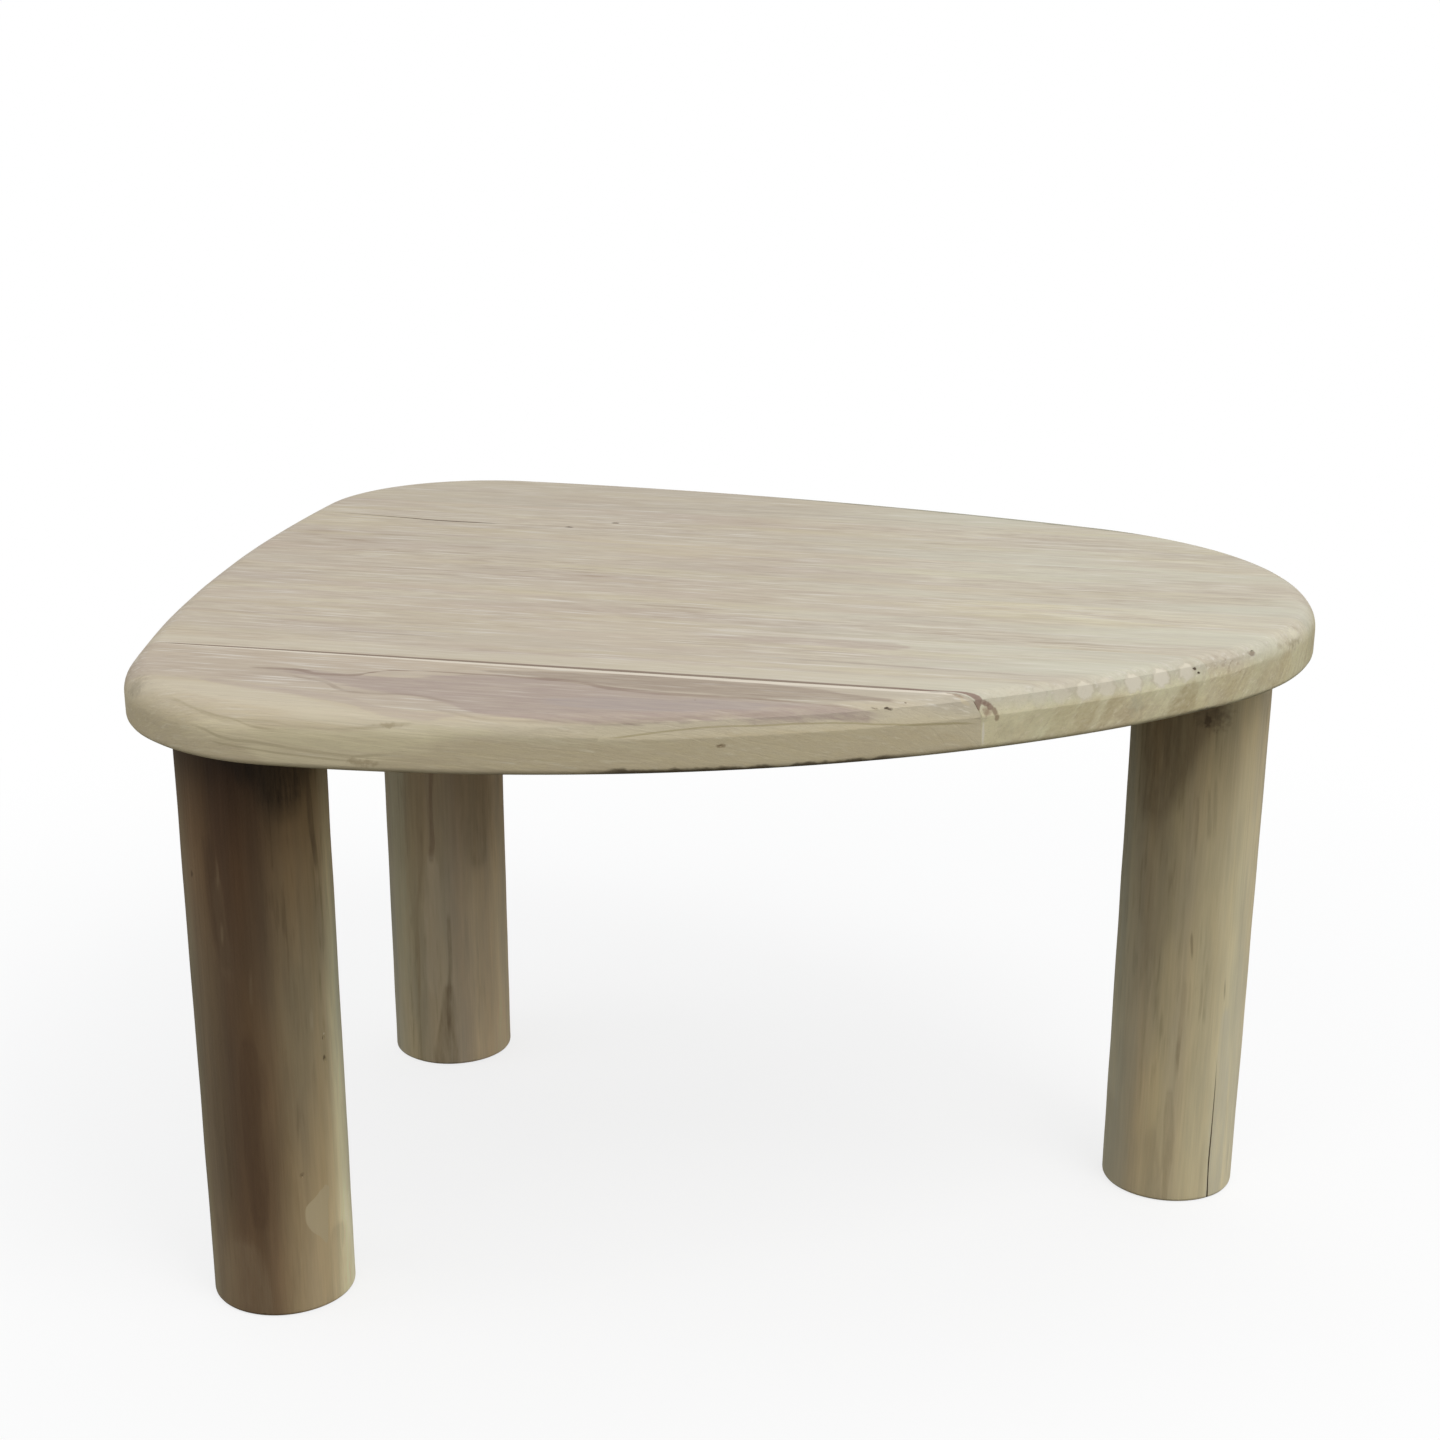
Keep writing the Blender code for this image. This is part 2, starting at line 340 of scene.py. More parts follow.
def cutEdge():
    startEdit(slab)
    slope, marks = math.radians(shoulder["slope"]), shoulder["edge"]
    steps = round((marks[-1][0] - marks[0][0]) / shoulder["step"])
    for step in range(steps + 1):
        degrees = marks[0][0] + step * shoulder["step"]
        before, after = next(pair for pair in zip(marks, marks[1:]) if degrees <= pair[1][0] + tiny)
        depth = before[1] + (after[1] - before[1]) * (degrees - before[0]) / (after[0] - before[0])
        outwards = Vector((math.cos(math.radians(degrees)), math.sin(math.radians(degrees)), 0))
        reach = max(vertex.co.dot(outwards) for vertex in bmesh.from_edit_mesh(slab.data).verts)
        sliceThrough(outwards * reach + Vector((0, 0, topHeight - depth)),
                     outwards * math.sin(slope) + Vector((0, 0, math.cos(slope))),
                     cutOff=True, threshold=shoulder["fineness"])
    mergeDoubles(shoulder["smallest"])
    facesOutwards()
    endEdit()


tightenRound()
cutEdge()


def softenRim():
    depths = {vertex.index: topHeight - vertex.co.z for vertex in slab.data.vertices}
    lowest = topHeight - undersideHeight - tiny
    weights = {index: min(1, depth / topShape["sandingDepth"])
               for index, depth in depths.items() if tiny < depth < lowest}
    roughen(slab, "handSanding", weights, topShape["sandingSize"], 1, topShape["sanding"])


softenRim()

boardFit = {
    "seamGap": 0.00006,
    "grooveWidths": {"front_board": 0.0007, "second_board": 0.0004},    # the bevel along the seam that shows
    "grooveDepth": 0.014,                           # how far down the rim the bevel goes
    "holeClearance": 0.0003, "holeSides": 24, "socketSides": 48,
}


def makeHoleCutter():
    # one mesh with every dowel hole and every insert's socket
    cutters, spare = [], boardFit["holeClearance"]
    for node in frame["nodes"]:
        low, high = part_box(node)
        middle, radius = (low + high) / 2, (high.x - low.x) / 2 + spare
        if "_dowel_" in node:
            bpy.ops.mesh.primitive_cylinder_add(
                vertices=boardFit["holeSides"], radius=radius, depth=high.y - low.y + 2 * spare,
                location=middle, rotation=(math.pi / 2, 0, 0))
            cutters.append(newest("dowelHole"))
        elif node.endswith("_insert"):
            bpy.ops.mesh.primitive_cylinder_add(
                vertices=boardFit["socketSides"], radius=radius, depth=(high.z - low.z + 2 * spare) * 2,
                location=(middle.x, middle.y, undersideHeight))
            cutters.append(newest("insertSocket"))
    cutter = joined(cutters, "holeCutter")
    settle(cutter)
    return cutter


def makeBoards():
    holeCutter = makeHoleCutter()
    boards = {}
    spare = (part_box("second_board")[0].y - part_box("front_board")[1].y - boardFit["seamGap"]) / 2
    for name in boardNames:
        low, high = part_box(name)
        front, back = low.y - spare, high.y + spare
        board = copyOf(slab, name + "_wood")
        startEdit(board)
        if name != boardNames[0]:
            sliceThrough((0, front, 0), (0, -1, 0), cutOff=True)
        if name != boardNames[-1]:
            sliceThrough((0, back, 0), (0, 1, 0), cutOff=True)
        if name in boardFit["grooveWidths"]:
            seam = back if name == "front_board" else front
            pick("edges", lambda e: len(e.link_faces) == 2 and all(
                abs(v.co.y - seam) < tiny / 5 and v.co.z > topHeight - boardFit["grooveDepth"]
                for v in e.verts))
            bpy.ops.mesh.bevel(offset=boardFit["grooveWidths"][name], segments=2, profile=0.5,
                               affect="EDGES", clamp_overlap=False)
        facesOutwards()
        endEdit()
        cutAway(board, holeCutter)
        boards[name] = board
    discard(holeCutter, slab)
    return boards


boards = makeBoards()
print("boards:", {name: len(board.data.polygons) for name, board in boards.items()})

# legs

legShape = {
    "sides": 144, "rows": 44,
    "inset": 0.00002,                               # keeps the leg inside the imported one
    "footRound": 0.003, "footRoundSteps": 4,
    "headChamfer": 0.001,
    "boreDepth": 0.0603, "boreSpare": 0.0003,
    "turning": 0.0005, "turningSize": 0.045,        # slight waves left by the lathe and the sanding
    "skin": 0.9,                                    # what lies beyond this share of the radius is the outside
    "upright": 0.1,                                 # an upright face's normal rises less than this
}


def makeLeg(name):
    low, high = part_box(name + "_leg")
    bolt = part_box(name + "_hanger_bolt")
    middle, radius = (low + high) / 2, (high.x - low.x) / 2 - legShape["inset"]
    boreRadius = (bolt[1].x - bolt[0].x) / 2 + legShape["boreSpare"]

    def onSkin(place):
        return (place.xy - middle.xy).length > radius * legShape["skin"]

    bpy.ops.mesh.primitive_circle_add(vertices=legShape["sides"], radius=radius, fill_type="NGON",
                                      location=(middle.x, middle.y, 0))
    leg = newest(name + "_leg_wood")
    settle(leg)
    startEdit(leg)
    bpy.ops.mesh.select_all(action="SELECT")
    bpy.ops.mesh.extrude_region_move(TRANSFORM_OT_translate={"value": (0, 0, high.z)})
    facesOutwards()
    for level, size, steps in ((0, legShape["footRound"], legShape["footRoundSteps"]),
                               (high.z, legShape["headChamfer"], 1)):
        pick("edges", lambda e: all(abs(v.co.z - level) < tiny for v in e.verts))
        bpy.ops.mesh.bevel(offset=size, segments=steps, profile=0.5, affect="EDGES")
    pick("faces", lambda f: all(abs(v.co.z - high.z) < tiny for v in f.verts))
    bpy.ops.mesh.inset(thickness=radius - legShape["headChamfer"] - boreRadius, depth=0)
    bpy.ops.mesh.extrude_region_move(TRANSFORM_OT_translate={"value": (0, 0, -legShape["boreDepth"])})
    for row in range(1, legShape["rows"]):
        # the bore's walls are exactly upright, and the outside is so only nearly
        pick("faces", lambda f: f.normal.z == 0
             or abs(f.normal.z) < legShape["upright"] and onSkin(f.calc_center_median()))
        bpy.ops.mesh.bisect(plane_co=(0, 0, high.z * row / legShape["rows"]), plane_no=(0, 0, 1),
                            use_fill=False)
    facesOutwards()
    endEdit()
    weights = {v.index: 1 for v in leg.data.vertices if tiny < v.co.z < high.z - tiny and onSkin(v.co)}
    roughen(leg, "turning", weights, legShape["turningSize"], 0, legShape["turning"])
    return leg


legs = {name: makeLeg(name) for name in ("front_left", "back_left", "right")}
print("legs:", {name: len(leg.data.polygons) for name, leg in legs.items()})

# cracks, pits and chips, cut into the wood

cracks = {
    # stations along a crack in millimetres: along, across, half its width, depth; a board's crack runs in X
    "fifth_board": [(-372, 176.5, 0.15, 1), (-330, 172.5, 0.2, 2), (-295, 168.5, 0.35, 4),
                    (-266, 164.8, 0.5, 5), (-240, 164.6, 0.45, 4), (-222, 164.8, 0.1, 1)],
    # a leg's crack runs in Z, and across is measured round the leg from its middle line
    "right": [(-2, -0.8, 0.5, 6), (30, 0.5, 0.45, 6), (57, 0, 0.35, 5), (90, 0, 0.22, 3),
              (115, 0.3, 0.05, 1)],
}
crackShape = {
    "legAngle": -49.2,                              # degrees: where the leg's crack is, seen from above
    "tip": 0.15,                                    # width at the bottom of the wedge, as a share of the top
    "proud": 0.0002,                                # how far the wedge stands out of the wood
}
hollowShape = {"segments": 14, "rings": 9, "radius": 0.001}     # the half sizes below stretch it
hollows = {
    # centre and half sizes of each pit or chip in millimetres
    "fifth_board": [((-165, 164.9, 450), (1.7, 0.9, 0.6)), ((-135, 186.8, 450), (1.5, 0.9, 0.6))],
    "second_board": [((308.9, -113.8, 444.8), (2.2, 1.0, 0.5)), ((311.3, -112.2, 441.9), (1.3, 0.8, 0.6))],
    "third_board": [((342.4, -70.6, 446.4), (2.4, 1.4, 0.6))],
    "front_board": [((141.8, -247.9, 446.5), (3.0, 1.0, 0.5)), ((136.4, -251, 446.8), (1.3, 0.7, 0.5)),
                    ((56.1, -294.1, 431.9), (2.8, 0.6, 0.8))],
    "front_left": [((-263.8, -255.6, 0.5), (2.8, 1.6, 2.4)), ((-236.2, -243.1, 101.7), (1.5, 1.0, 1.0)),
                   ((-223.2, -223.6, 194), (1.0, 1.0, 1.6)), ((-223.2, -223.6, 178), (1.0, 1.0, 2.0))],
}


def makeBlade(stations):
    # a thin wedge that points down, with its open edge just above the wood's surface
    proud, middle = crackShape["proud"], (0, 0, 0)
    along, across, half, depth = metres(stations[0])
    bpy.ops.mesh.primitive_plane_add(size=1, rotation=(0, math.pi / 2, 0))
    blade = newest("blade")
    settle(blade)
    startEdit(blade)
    bpy.ops.mesh.select_all(action="SELECT")
    bpy.ops.transform.resize(value=(1, 2 * half, depth), center_override=middle)
    pick("verts", lambda v: v.co.z < 0)
    bpy.ops.transform.resize(value=(1, crackShape["tip"], 1), center_override=middle)
    bpy.ops.mesh.select_all(action="SELECT")
    bpy.ops.transform.translate(value=(along, across, -depth / 2 + proud))
    for station in stations[1:]:
        further, aside, newHalf, newDepth = metres(station)
        step = (further - along, aside - across, 0)
        bpy.ops.mesh.extrude_region_move(TRANSFORM_OT_translate={"value": step})
        bpy.ops.transform.resize(value=(1, newHalf / half, newDepth / depth),
                                 center_override=(further, aside, proud))
        along, across, half, depth = further, aside, newHalf, newDepth
    facesOutwards()
    endEdit()
    return blade


def placeBlade(blade, name):
    if name in legs:
        low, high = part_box(name + "_leg")
        turn = math.radians(crackShape["legAngle"])
        outwards = Vector((math.cos(turn), math.sin(turn), 0))
        axes = Matrix(((0, 0, 1), outwards.cross(Vector((0, 0, 1))), outwards)).transposed()
        blade.rotation_euler = axes.to_euler()
        middle, radius = (low + high) / 2, (high.x - low.x) / 2
        blade.location = Vector((middle.x, middle.y, 0)) + outwards * radius
    else:
        blade.location = (0, 0, topHeight)
    settle(blade)


def makeHollowCutter(marks):
    cutters = []
    for centre, sizes in marks:
        bpy.ops.mesh.primitive_uv_sphere_add(segments=hollowShape["segments"],
                                             ring_count=hollowShape["rings"], radius=hollowShape["radius"],
                                             location=metres(centre), scale=sizes)
        cutters.append(newest("hollow"))
    cutter = joined(cutters, "hollows")
    settle(cutter)
    return cutter


def damage(name, piece):
    if name in cracks:
        blade = makeBlade(cracks[name])
        placeBlade(blade, name)
        cutAway(piece, blade)
        discard(blade)
    if name in hollows:
        cutter = makeHollowCutter(hollows[name])
        cutAway(piece, cutter)
        discard(cutter)


smoothing = {
    "angle": 0.6,                                   # radians; a sharper edge stays sharp
    "weight": 60,                                   # how much the large faces lead the shading
}


def finishShape(piece):
    # smooth rounds, flat faces left flat
    takeUp(piece)
    bpy.ops.object.shade_smooth_by_angle(angle=smoothing["angle"])
    even = piece.modifiers.new("evenShading", "WEIGHTED_NORMAL")
    even.keep_sharp, even.weight = True, smoothing["weight"]
    applyAll(piece)


for name, piece in {**boards, **legs}.items():
    damage(name, piece)
    finishShape(piece)
print("cracks, pits and chips cut")

# materials

def hue(red, green, blue):
    # a screen colour, 0 to 255, as the shaders take it
    return (*[((c / 255 + 0.055) / 1.055) ** 2.4 if c > 10 else c / 3295 for c in (red, green, blue)], 1)


class Net:
    # short calls that make shader nodes and join them; a value is a number, a tuple or a socket,
    # and a colour may leave out its alpha
    def __init__(self, tree):
        self.tree = tree

    def feed(self, socket, value):
        if isinstance(value, bpy.types.NodeSocket):
            self.tree.links.new(value, socket)
        elif value is not None:
            socket.default_value = (*value, 1) if socket.type == "RGBA" and len(value) == 3 else value

    def add(self, kind, *values, **settings):
        node = self.tree.nodes.new(kind if kind.startswith("Node") else "ShaderNode" + kind)
        for name, value in settings.items():
            setattr(node, name, value)
        for socket, value in zip(node.inputs, values):
            self.feed(socket, value)
        return node

    def math(self, operation, *values, clamp=False):
        return self.add("Math", *values, operation=operation, use_clamp=clamp).outputs[0]

    def plus(self, first, second):
        return self.math("ADD", first, second)

    def times(self, first, second):
        return self.math("MULTIPLY", first, second)

    def centred(self, value):
        return self.plus(value, -0.5)

    def vector(self, operation, *values, outlet=0):
        return self.add("VectorMath", *values, operation=operation).outputs[outlet]

    def xyz(self, vector):
        return self.add("SeparateXYZ", vector).outputs

    def noise(self, vector, scale, shift=(0, 0, 0), detail=2.0, roughness=0.5, low=0.3, high=0.7):
        # noise stretched by a scale for each direction, spread over 0 to 1
        place = self.vector("MULTIPLY_ADD", vector, scale, shift)
        node = self.add("TexNoise", noise_dimensions="3D")
        for name, value in (("Vector", place), ("Scale", 1.0), ("Detail", detail), ("Roughness", roughness)):
            self.feed(node.inputs[name], value)
        return self.span(node.outputs[0], low, high)

    def grain(self, vector, settings, number=1):
        # noise drawn out along X; settings are those of grainNoises, and number moves the pattern
        along, across, (first, second, third), detail, roughness, low, high = settings
        return self.noise(vector, (along, across, across), (first * number, second, third), detail, roughness,
                          low, high)

    def span(self, value, fromLow, fromHigh, toLow=0.0, toHigh=1.0, smooth=False):
        kind = "SMOOTHSTEP" if smooth else "LINEAR"
        node = self.add("MapRange", value, fromLow, fromHigh, toLow, toHigh, interpolation_type=kind)
        return node.outputs[0]

    def mix(self, amount, first, second, blend="MIX"):
        node = self.add("Mix", data_type="RGBA", blend_type=blend)
        for socket, value in zip((node.inputs[0], node.inputs[6], node.inputs[7]), (amount, first, second)):
            self.feed(socket, value)
        return node.outputs[2]

    def tinted(self, colour, tint):
        return self.mix(1.0, colour, tint, "MULTIPLY")

    def shaded(self, colour, level):
        return self.tinted(colour, self.add("CombineXYZ", level, level, level).outputs[0])

    def curve(self, value, points, low, high, least, most):
        # a smooth curve through (input, output) points
        node = self.add("FloatCurve", 1.0, self.span(value, low, high))
        line = node.mapping.curves[0]
        scaled = [((a - low) / (high - low), (b - least) / (most - least)) for a, b in points]
        while len(line.points) < len(scaled):
            line.points.new(0.5, 0.5)
        for point, (a, b) in zip(line.points, scaled):
            point.location, point.handle_type = (a, b), "AUTO_CLAMPED"
        node.mapping.extend = "HORIZONTAL"
        node.mapping.update()
        return self.span(node.outputs[0], 0.0, 1.0, least, most)

    def group(self, tree, **values):
        node = self.add("Group")
        node.node_tree = tree
        for name, value in values.items():
            self.feed(node.inputs[name], value)
        return node.outputs


def makeGroup(name, inputs, outputs, build):
    # inputs are name: default; a default of three numbers makes a vector
    tree = bpy.data.node_groups.new(name, "ShaderNodeTree")
    for label, default in inputs.items():
        kind = "NodeSocketVector" if isinstance(default, tuple) else "NodeSocketFloat"
        tree.interface.new_socket(label, in_out="INPUT", socket_type=kind).default_value = default
    for label in outputs:
        tree.interface.new_socket(label, in_out="OUTPUT", socket_type="NodeSocketFloat")
    net = Net(tree)
    taken = net.add("NodeGroupInput").outputs
    given = net.add("NodeGroupOutput").inputs
    for label, value in build(net, taken).items():
        net.feed(given[label], value)
    return tree


grainNoises = {
    # scale along and across the grain, shift, detail, roughness, and the two values spread over 0 to 1
    "coarse": (9, 620, (0, 0, 0), 2, 0.5, 0.3, 0.7),
    "fine": (30, 2400, (0, 0, 0), 1, 0.5, 0.3, 0.7),
    "Streaks": (13, 150, (3.1, 0.7, 5.2), 3, 0.62, 0.3, 0.7),
    "Broken": (36, 250, (5.6, 2.7, 8.2), 3, 0.66, 0.3, 0.7),
    "Threads": (20, 420, (2.8, 6.7, 0.2), 2, 0.5, 0.56, 0.70),
    "Patches": (7, 45, (7.7, 3.3, 1.9), 3, 0.5, 0.3, 0.7),
    "Flecks": (26, 300, (1.3, 8.1, 4.4), 2, 0.55, 0.53, 0.70),
    "Pores": (55, 1500, (6.2, 2.4, 9.3), 1, 0.5, 0.60, 0.72),
    # the wandering of the grain
    "Slow": (2.2, 9, (0, 0, 0), 1, 0.5, 0.25, 0.75),
    "Quick": (11, 70, (0, 0, 0), 2, 0.5, 0.25, 0.75),
    "Fine": (45, 700, (0, 0, 0), 1, 0.5, 0.25, 0.75),
}
groupShapes = {
    "coarseShare": 0.6,                             # of the coarse fibres, beside the fine ones
    "ringWave": 0.37,                               # how fast the width of the rings changes
    "ringRise": (0.35, 0.93), "ringFall": 0.95,     # where in a ring its late wood starts, is full and ends
    "thinLine": (0.00002, 0.0003),                  # half widths from which a line shows, and shows in full
    "softLine": 0.003, "softLineFade": 0.5,         # a line softer than this closes over a longer stretch
    "spotNoise": 300.0,                             # scale of the noise in a spot's edge
}


def buildWaver(net, taken):
    # slow and quick wandering of the grain, in metres; Place runs along the grain in X
    place = net.vector("ADD", taken["Place"], taken["Seed"])
    total = 0.0
    for size in ("Slow", "Quick", "Fine"):
        wave = net.centred(net.grain(place, grainNoises[size]))
        total = net.plus(total, net.times(wave, taken[size]))
    return {"Shift": total}


def buildRings(net, taken):
    # growth rings by their distance from the pith: a pale early band that darkens to a sharp late line
    side = net.math("SUBTRACT", taken["Across"], taken["Pith"])
    away = net.math("SQRT", net.plus(net.times(side, side), net.times(taken["Height"], taken["Height"])))
    count = net.math("DIVIDE", away, taken["Width"])
    wave = net.add("TexNoise", noise_dimensions="1D")
    net.feed(wave.inputs["W"], net.plus(net.times(count, groupShapes["ringWave"]), taken["Start"]))
    net.feed(wave.inputs["Detail"], 1.0)
    count = net.plus(count, net.times(wave.outputs[0], taken["Uneven"]))
    part = net.math("FRACT", count)
    number = net.math("FLOOR", count)
    dice = net.add("TexWhiteNoise", noise_dimensions="1D")
    net.feed(dice.inputs["W"], net.plus(number, taken["Start"]))
    rise = net.span(part, *groupShapes["ringRise"], smooth=True)
    fall = net.span(part, groupShapes["ringFall"], 1.0, 1.0, 0.0)
    return {"Late": net.times(net.times(rise, rise), fall), "Tone": dice.outputs[0]}


def buildFibres(net, taken):
    place = net.vector("ADD", taken["Place"], taken["Seed"])
    share = groupShapes["coarseShare"]
    coarse, fine = net.grain(place, grainNoises["coarse"]), net.grain(place, grainNoises["fine"])
    masks = {label: net.grain(place, grainNoises[label]) for label in grainMasks}
    return {"Fibre": net.plus(net.times(coarse, share), net.times(fine, 1 - share)), **masks}


def buildLine(net, taken):
    # a line along the grain: full inside its half width, soft beyond it, and broken up by the fibres
    away = net.math("ABSOLUTE", net.math("SUBTRACT", taken["Across"], taken["Centre"]))
    away = net.plus(away, net.times(net.centred(taken["Fibre"]), taken["Ragged"]))
    edge = net.plus(taken["Half"], taken["Soft"])
    inside = net.span(away, taken["Half"], edge, 1.0, 0.0, smooth=True)
    closing = net.math("MAXIMUM", net.plus(taken["Soft"], -groupShapes["softLine"]), 0.0)
    thin, full = groupShapes["thinLine"]
    full = net.plus(net.times(closing, groupShapes["softLineFade"]), full)
    return {"Mask": net.times(inside, net.span(taken["Half"], thin, full))}


def buildSpot(net, taken):
    # an ellipsoid mark; Radii are its half sizes, and Ragged moves its edge by the noise
    offset = net.vector("DIVIDE", net.vector("SUBTRACT", taken["Place"], taken["Centre"]), taken["Radii"])
    away = net.vector("LENGTH", offset, outlet="Value")
    rough = net.noise(taken["Place"], (groupShapes["spotNoise"],) * 3)
    away = net.plus(away, net.times(net.centred(rough), taken["Ragged"]))
    return {"Mask": net.span(away, 1.0, taken["Inner"], smooth=True)}


origin = (0.0, 0.0, 0.0)
grainMasks = ["Streaks", "Broken", "Threads", "Patches", "Flecks", "Pores"]
waver = makeGroup("waver", {"Place": origin, "Seed": origin, "Slow": 0.004, "Quick": 0.0015, "Fine": 0.0004},
                  ["Shift"], buildWaver)
rings = makeGroup("growthRings", {"Across": 0.0, "Pith": 0.0, "Height": 0.0, "Width": 0.008, "Uneven": 0.8,
                                  "Start": 0.0}, ["Late", "Tone"], buildRings)
fibres = makeGroup("fibres", {"Place": origin, "Seed": origin}, ["Fibre", *grainMasks], buildFibres)
grainLine = makeGroup("grainLine", {"Across": 0.0, "Centre": 0.0, "Half": 0.001, "Soft": 0.002, "Fibre": 0.5,
                                    "Ragged": 0.001}, ["Mask"], buildLine)
spot = makeGroup("spot", {"Place": origin, "Centre": origin, "Radii": (0.002, 0.002, 0.002), "Inner": 0.5,
                          "Ragged": 0.3}, ["Mask"], buildSpot)


def newMaterial(name):
    material = bpy.data.materials.new(name)
    material.use_nodes = True
    net = Net(material.node_tree)
    shader = material.node_tree.nodes["Principled BSDF"]
    return material, net, shader


def wear(piece, material):
    piece.data.materials.clear()
    piece.data.materials.append(material)


grainDepth = 0.0003                                 # metres that the grain seems to be deep


def finishWood(net, shader, look, colour, fibre, height):
    bump = net.add("Bump")
    for key, value in (("Strength", look["bump"]), ("Distance", grainDepth), ("Height", height)):
        net.feed(bump.inputs[key], value)
    for key, value in (("Base Color", colour), ("Roughness", net.span(fibre, 0.0, 1.0, *look["rough"])),
                       ("Specular IOR Level", look["shine"]), ("Normal", bump.outputs[0])):
        net.feed(shader.inputs[key], value)


lineRules = {
    "widest": 0.08, "farthest": 0.4,                # largest half width and place across, in metres
    "flatEnd": 80,                                  # a closed end stays so for the length divided by this
    "wide": 1.2,                                    # from this softness on, streaks break a line up
    "wideRagged": 1.3, "mostRagged": 7, "fineRagged": 0.4,
    "broken": (0.55, 1.2),                          # least and most strength where the grain breaks a line
}


def drawLines(net, colour, along, across, grain, lines, low, high):
    # each line: colour, strength, softness, then (along, across, half width) points in millimetres
    rules = lineRules
    for shade, strength, soft, points in lines:
        centre = net.curve(along, [metres(point[:2]) for point in points], low, high,
                           -rules["farthest"], rules["farthest"])
        widths = sorted(metres((a, c)) for a, _, c in points)
        spare = (high - low) / rules["flatEnd"]
        before = [(widths[0][0] - spare, 0)] if widths[0][1] == 0 else []
        after = [(widths[-1][0] + spare, 0)] if widths[-1][1] == 0 else []
        half = net.curve(along, before + widths + after, low, high, 0.0, rules["widest"])
        wide = soft >= rules["wide"]
        ragged = min(soft * rules["wideRagged"], rules["mostRagged"]) if wide else soft * rules["fineRagged"]
        mask = net.group(grainLine, Across=across, Centre=centre, Half=half, Soft=soft / 1000,
                         Fibre=grain["Streaks" if wide else "Fibre"], Ragged=ragged / 1000)["Mask"]
        if wide:
            mask = net.times(mask, net.span(grain["Broken"], 0.0, 1.0, *rules["broken"]))
        colour = net.mix(net.math("MULTIPLY", mask, strength, clamp=True), colour, hue(*shade))
    return colour


def drawSpots(net, colour, place, spots):
    # each spot: colour, strength, inner share, raggedness, centre and half sizes in millimetres
    for shade, strength, inner, ragged, centre, radii in spots:
        mask = net.group(spot, Place=place, Centre=metres(centre), Radii=metres(radii), Inner=inner,
                         Ragged=ragged)["Mask"]
        colour = net.mix(net.times(mask, strength), colour, hue(*shade))
    return colour


boardBase = {
    "slant": -0.55,                                 # how the growth layers lean, as seen on the rim
    "slow": 0.006, "quick": 0.0022, "fine": 0.0005,
    "seedSteps": (1.37, 2.11, 0.73), "ringSteps": 5.3,      # how the patterns move from board to board
    "ringWidth": 0.0075, "uneven": 1.6, "pith": -1.0, "pithHeight": 0.0,
    "light": (213, 206, 189), "dark": (187, 175, 159), "pink": (191, 175, 166), "yellow": (206, 196, 166),
    "late": (168, 152, 136), "thread": (216, 209, 197), "fleck": (172, 155, 138), "pale": (207, 204, 188),
    "band": (170, 152, 124), "pore": (150, 134, 112), "darkLowerEdgeColour": (84, 70, 52),
    "pinkShare": 0.6, "yellowShare": 0.5, "fleckShare": 0.5, "paleShare": 0.5, "threadShare": 0.75,
    "lateShare": 0.12, "ringTone": 0.12, "rimBands": 0.0, "streakShare": 0.14, "poreShare": 0.18,
    "fibreShade": 0.10,
    "markWaver": 0.4,                               # how much the marks follow the wandering of the grain
    "brokenShare": 0.6, "contrast": (0.3, 2.0),     # of the streaks; it changes over the board
    "lateBreaks": (0.15, 0.75), "lateSink": 0.6,    # how late wood is broken up, and lies deeper
    "bands": {"scale": (9.0, 105.0, 30.0), "low": 0.42, "high": 0.66}, "bandShare": 1.6,
    "rimToneAndLight": (1.10, 1.08, 0.88),                  # of the rim, beside the top's own colour: yellower wood, and painted light that lightens the upright rim
    "warmth": (0.95, 0.925, 0.885), "cool": (1.01, 1.015, 0.98),    # tints of the left and the right end
    "warmEnds": (-0.05, 0.15),                      # where in X one ends and the other starts
    "pinkFade": (0.08, 0.30, 1.0, 0.3),             # from and to in X, and the share at each
    "paleRise": (0.0, 0.2, 0.3, 1.6),               # likewise
    "blotches": ((1.05, 1.04, 1.01), (0.95, 0.945, 0.95)), "lastStreaks": (0.86, 0.84, 0.80),
    "rimDepths": (0.001, 0.016), "sideDepths": (0.009, 0.014),      # start and full, below the top
    "darkLowerEdge": (-0.4, 0.4, 0.2),                       # darker along the ragged lower edge: from and to in X, strength
    "darkLowerEdgeDepths": (0.0052, 0.0036, 0.004),          # none above the first, full below the second, and rough
    "darkLowerEdgeFade": 0.02, "darkLowerEdgeNoise": 70.0,
    "lines": [], "rimLines": [], "spots": [],
    "rough": (0.60, 0.78), "shine": 0.35, "bump": 0.25,
}
boardNoises = {
    # as in grainNoises, but the first number of the shift is multiplied by the board's number
    "lively": (4.5, 20, (2.9, 2, 8), 1, 0.5, 0.3, 0.7),
    "yellow": (5, 40, (3.3, 1, 2), 2, 0.5, 0.5, 0.72),
    "clusters": (5, 30, (1.9, 4, 6), 1, 0.5, 0.42, 0.66),
    "pale": (4, 24, (2.3, 9, 5), 1, 0.5, 0.45, 0.65),
    "blotches": (4, 15, (0.7, 6, 3), 3, 0.6, 0.3, 0.7),
}
rimPads = {
    # the pads round the rim's shoulder: a darker ring with a pale middle, and longer where it is stronger;
    # they paint the scallops' highlights and shade as well as the wood's paler colour
    "rings": [((180, 166, 142), 0.5, 8.2), ((222, 214, 195), 1.0, 6.4)],    # colour, share, half size
    "inner": 0.6, "ragged": 0.35,
    "length": 0.8, "growth": 0.4, "width": 1.15,    # as shares of the half size
    "height": 7,
    "places": [                                     # strength and centre, in millimetres
        (0.2, (213, -201.2, 445)), (0.3, (223, -194.2, 444)), (0.4, (235, -185.2, 444)),
        (0.8, (248, -173.8, 443.5)), (0.6, (260, -163, 443.5)), (0.9, (275, -149.7, 443.5)),
        (1.0, (290, -134.4, 443.5)), (0.85, (305, -119.1, 444))],
}


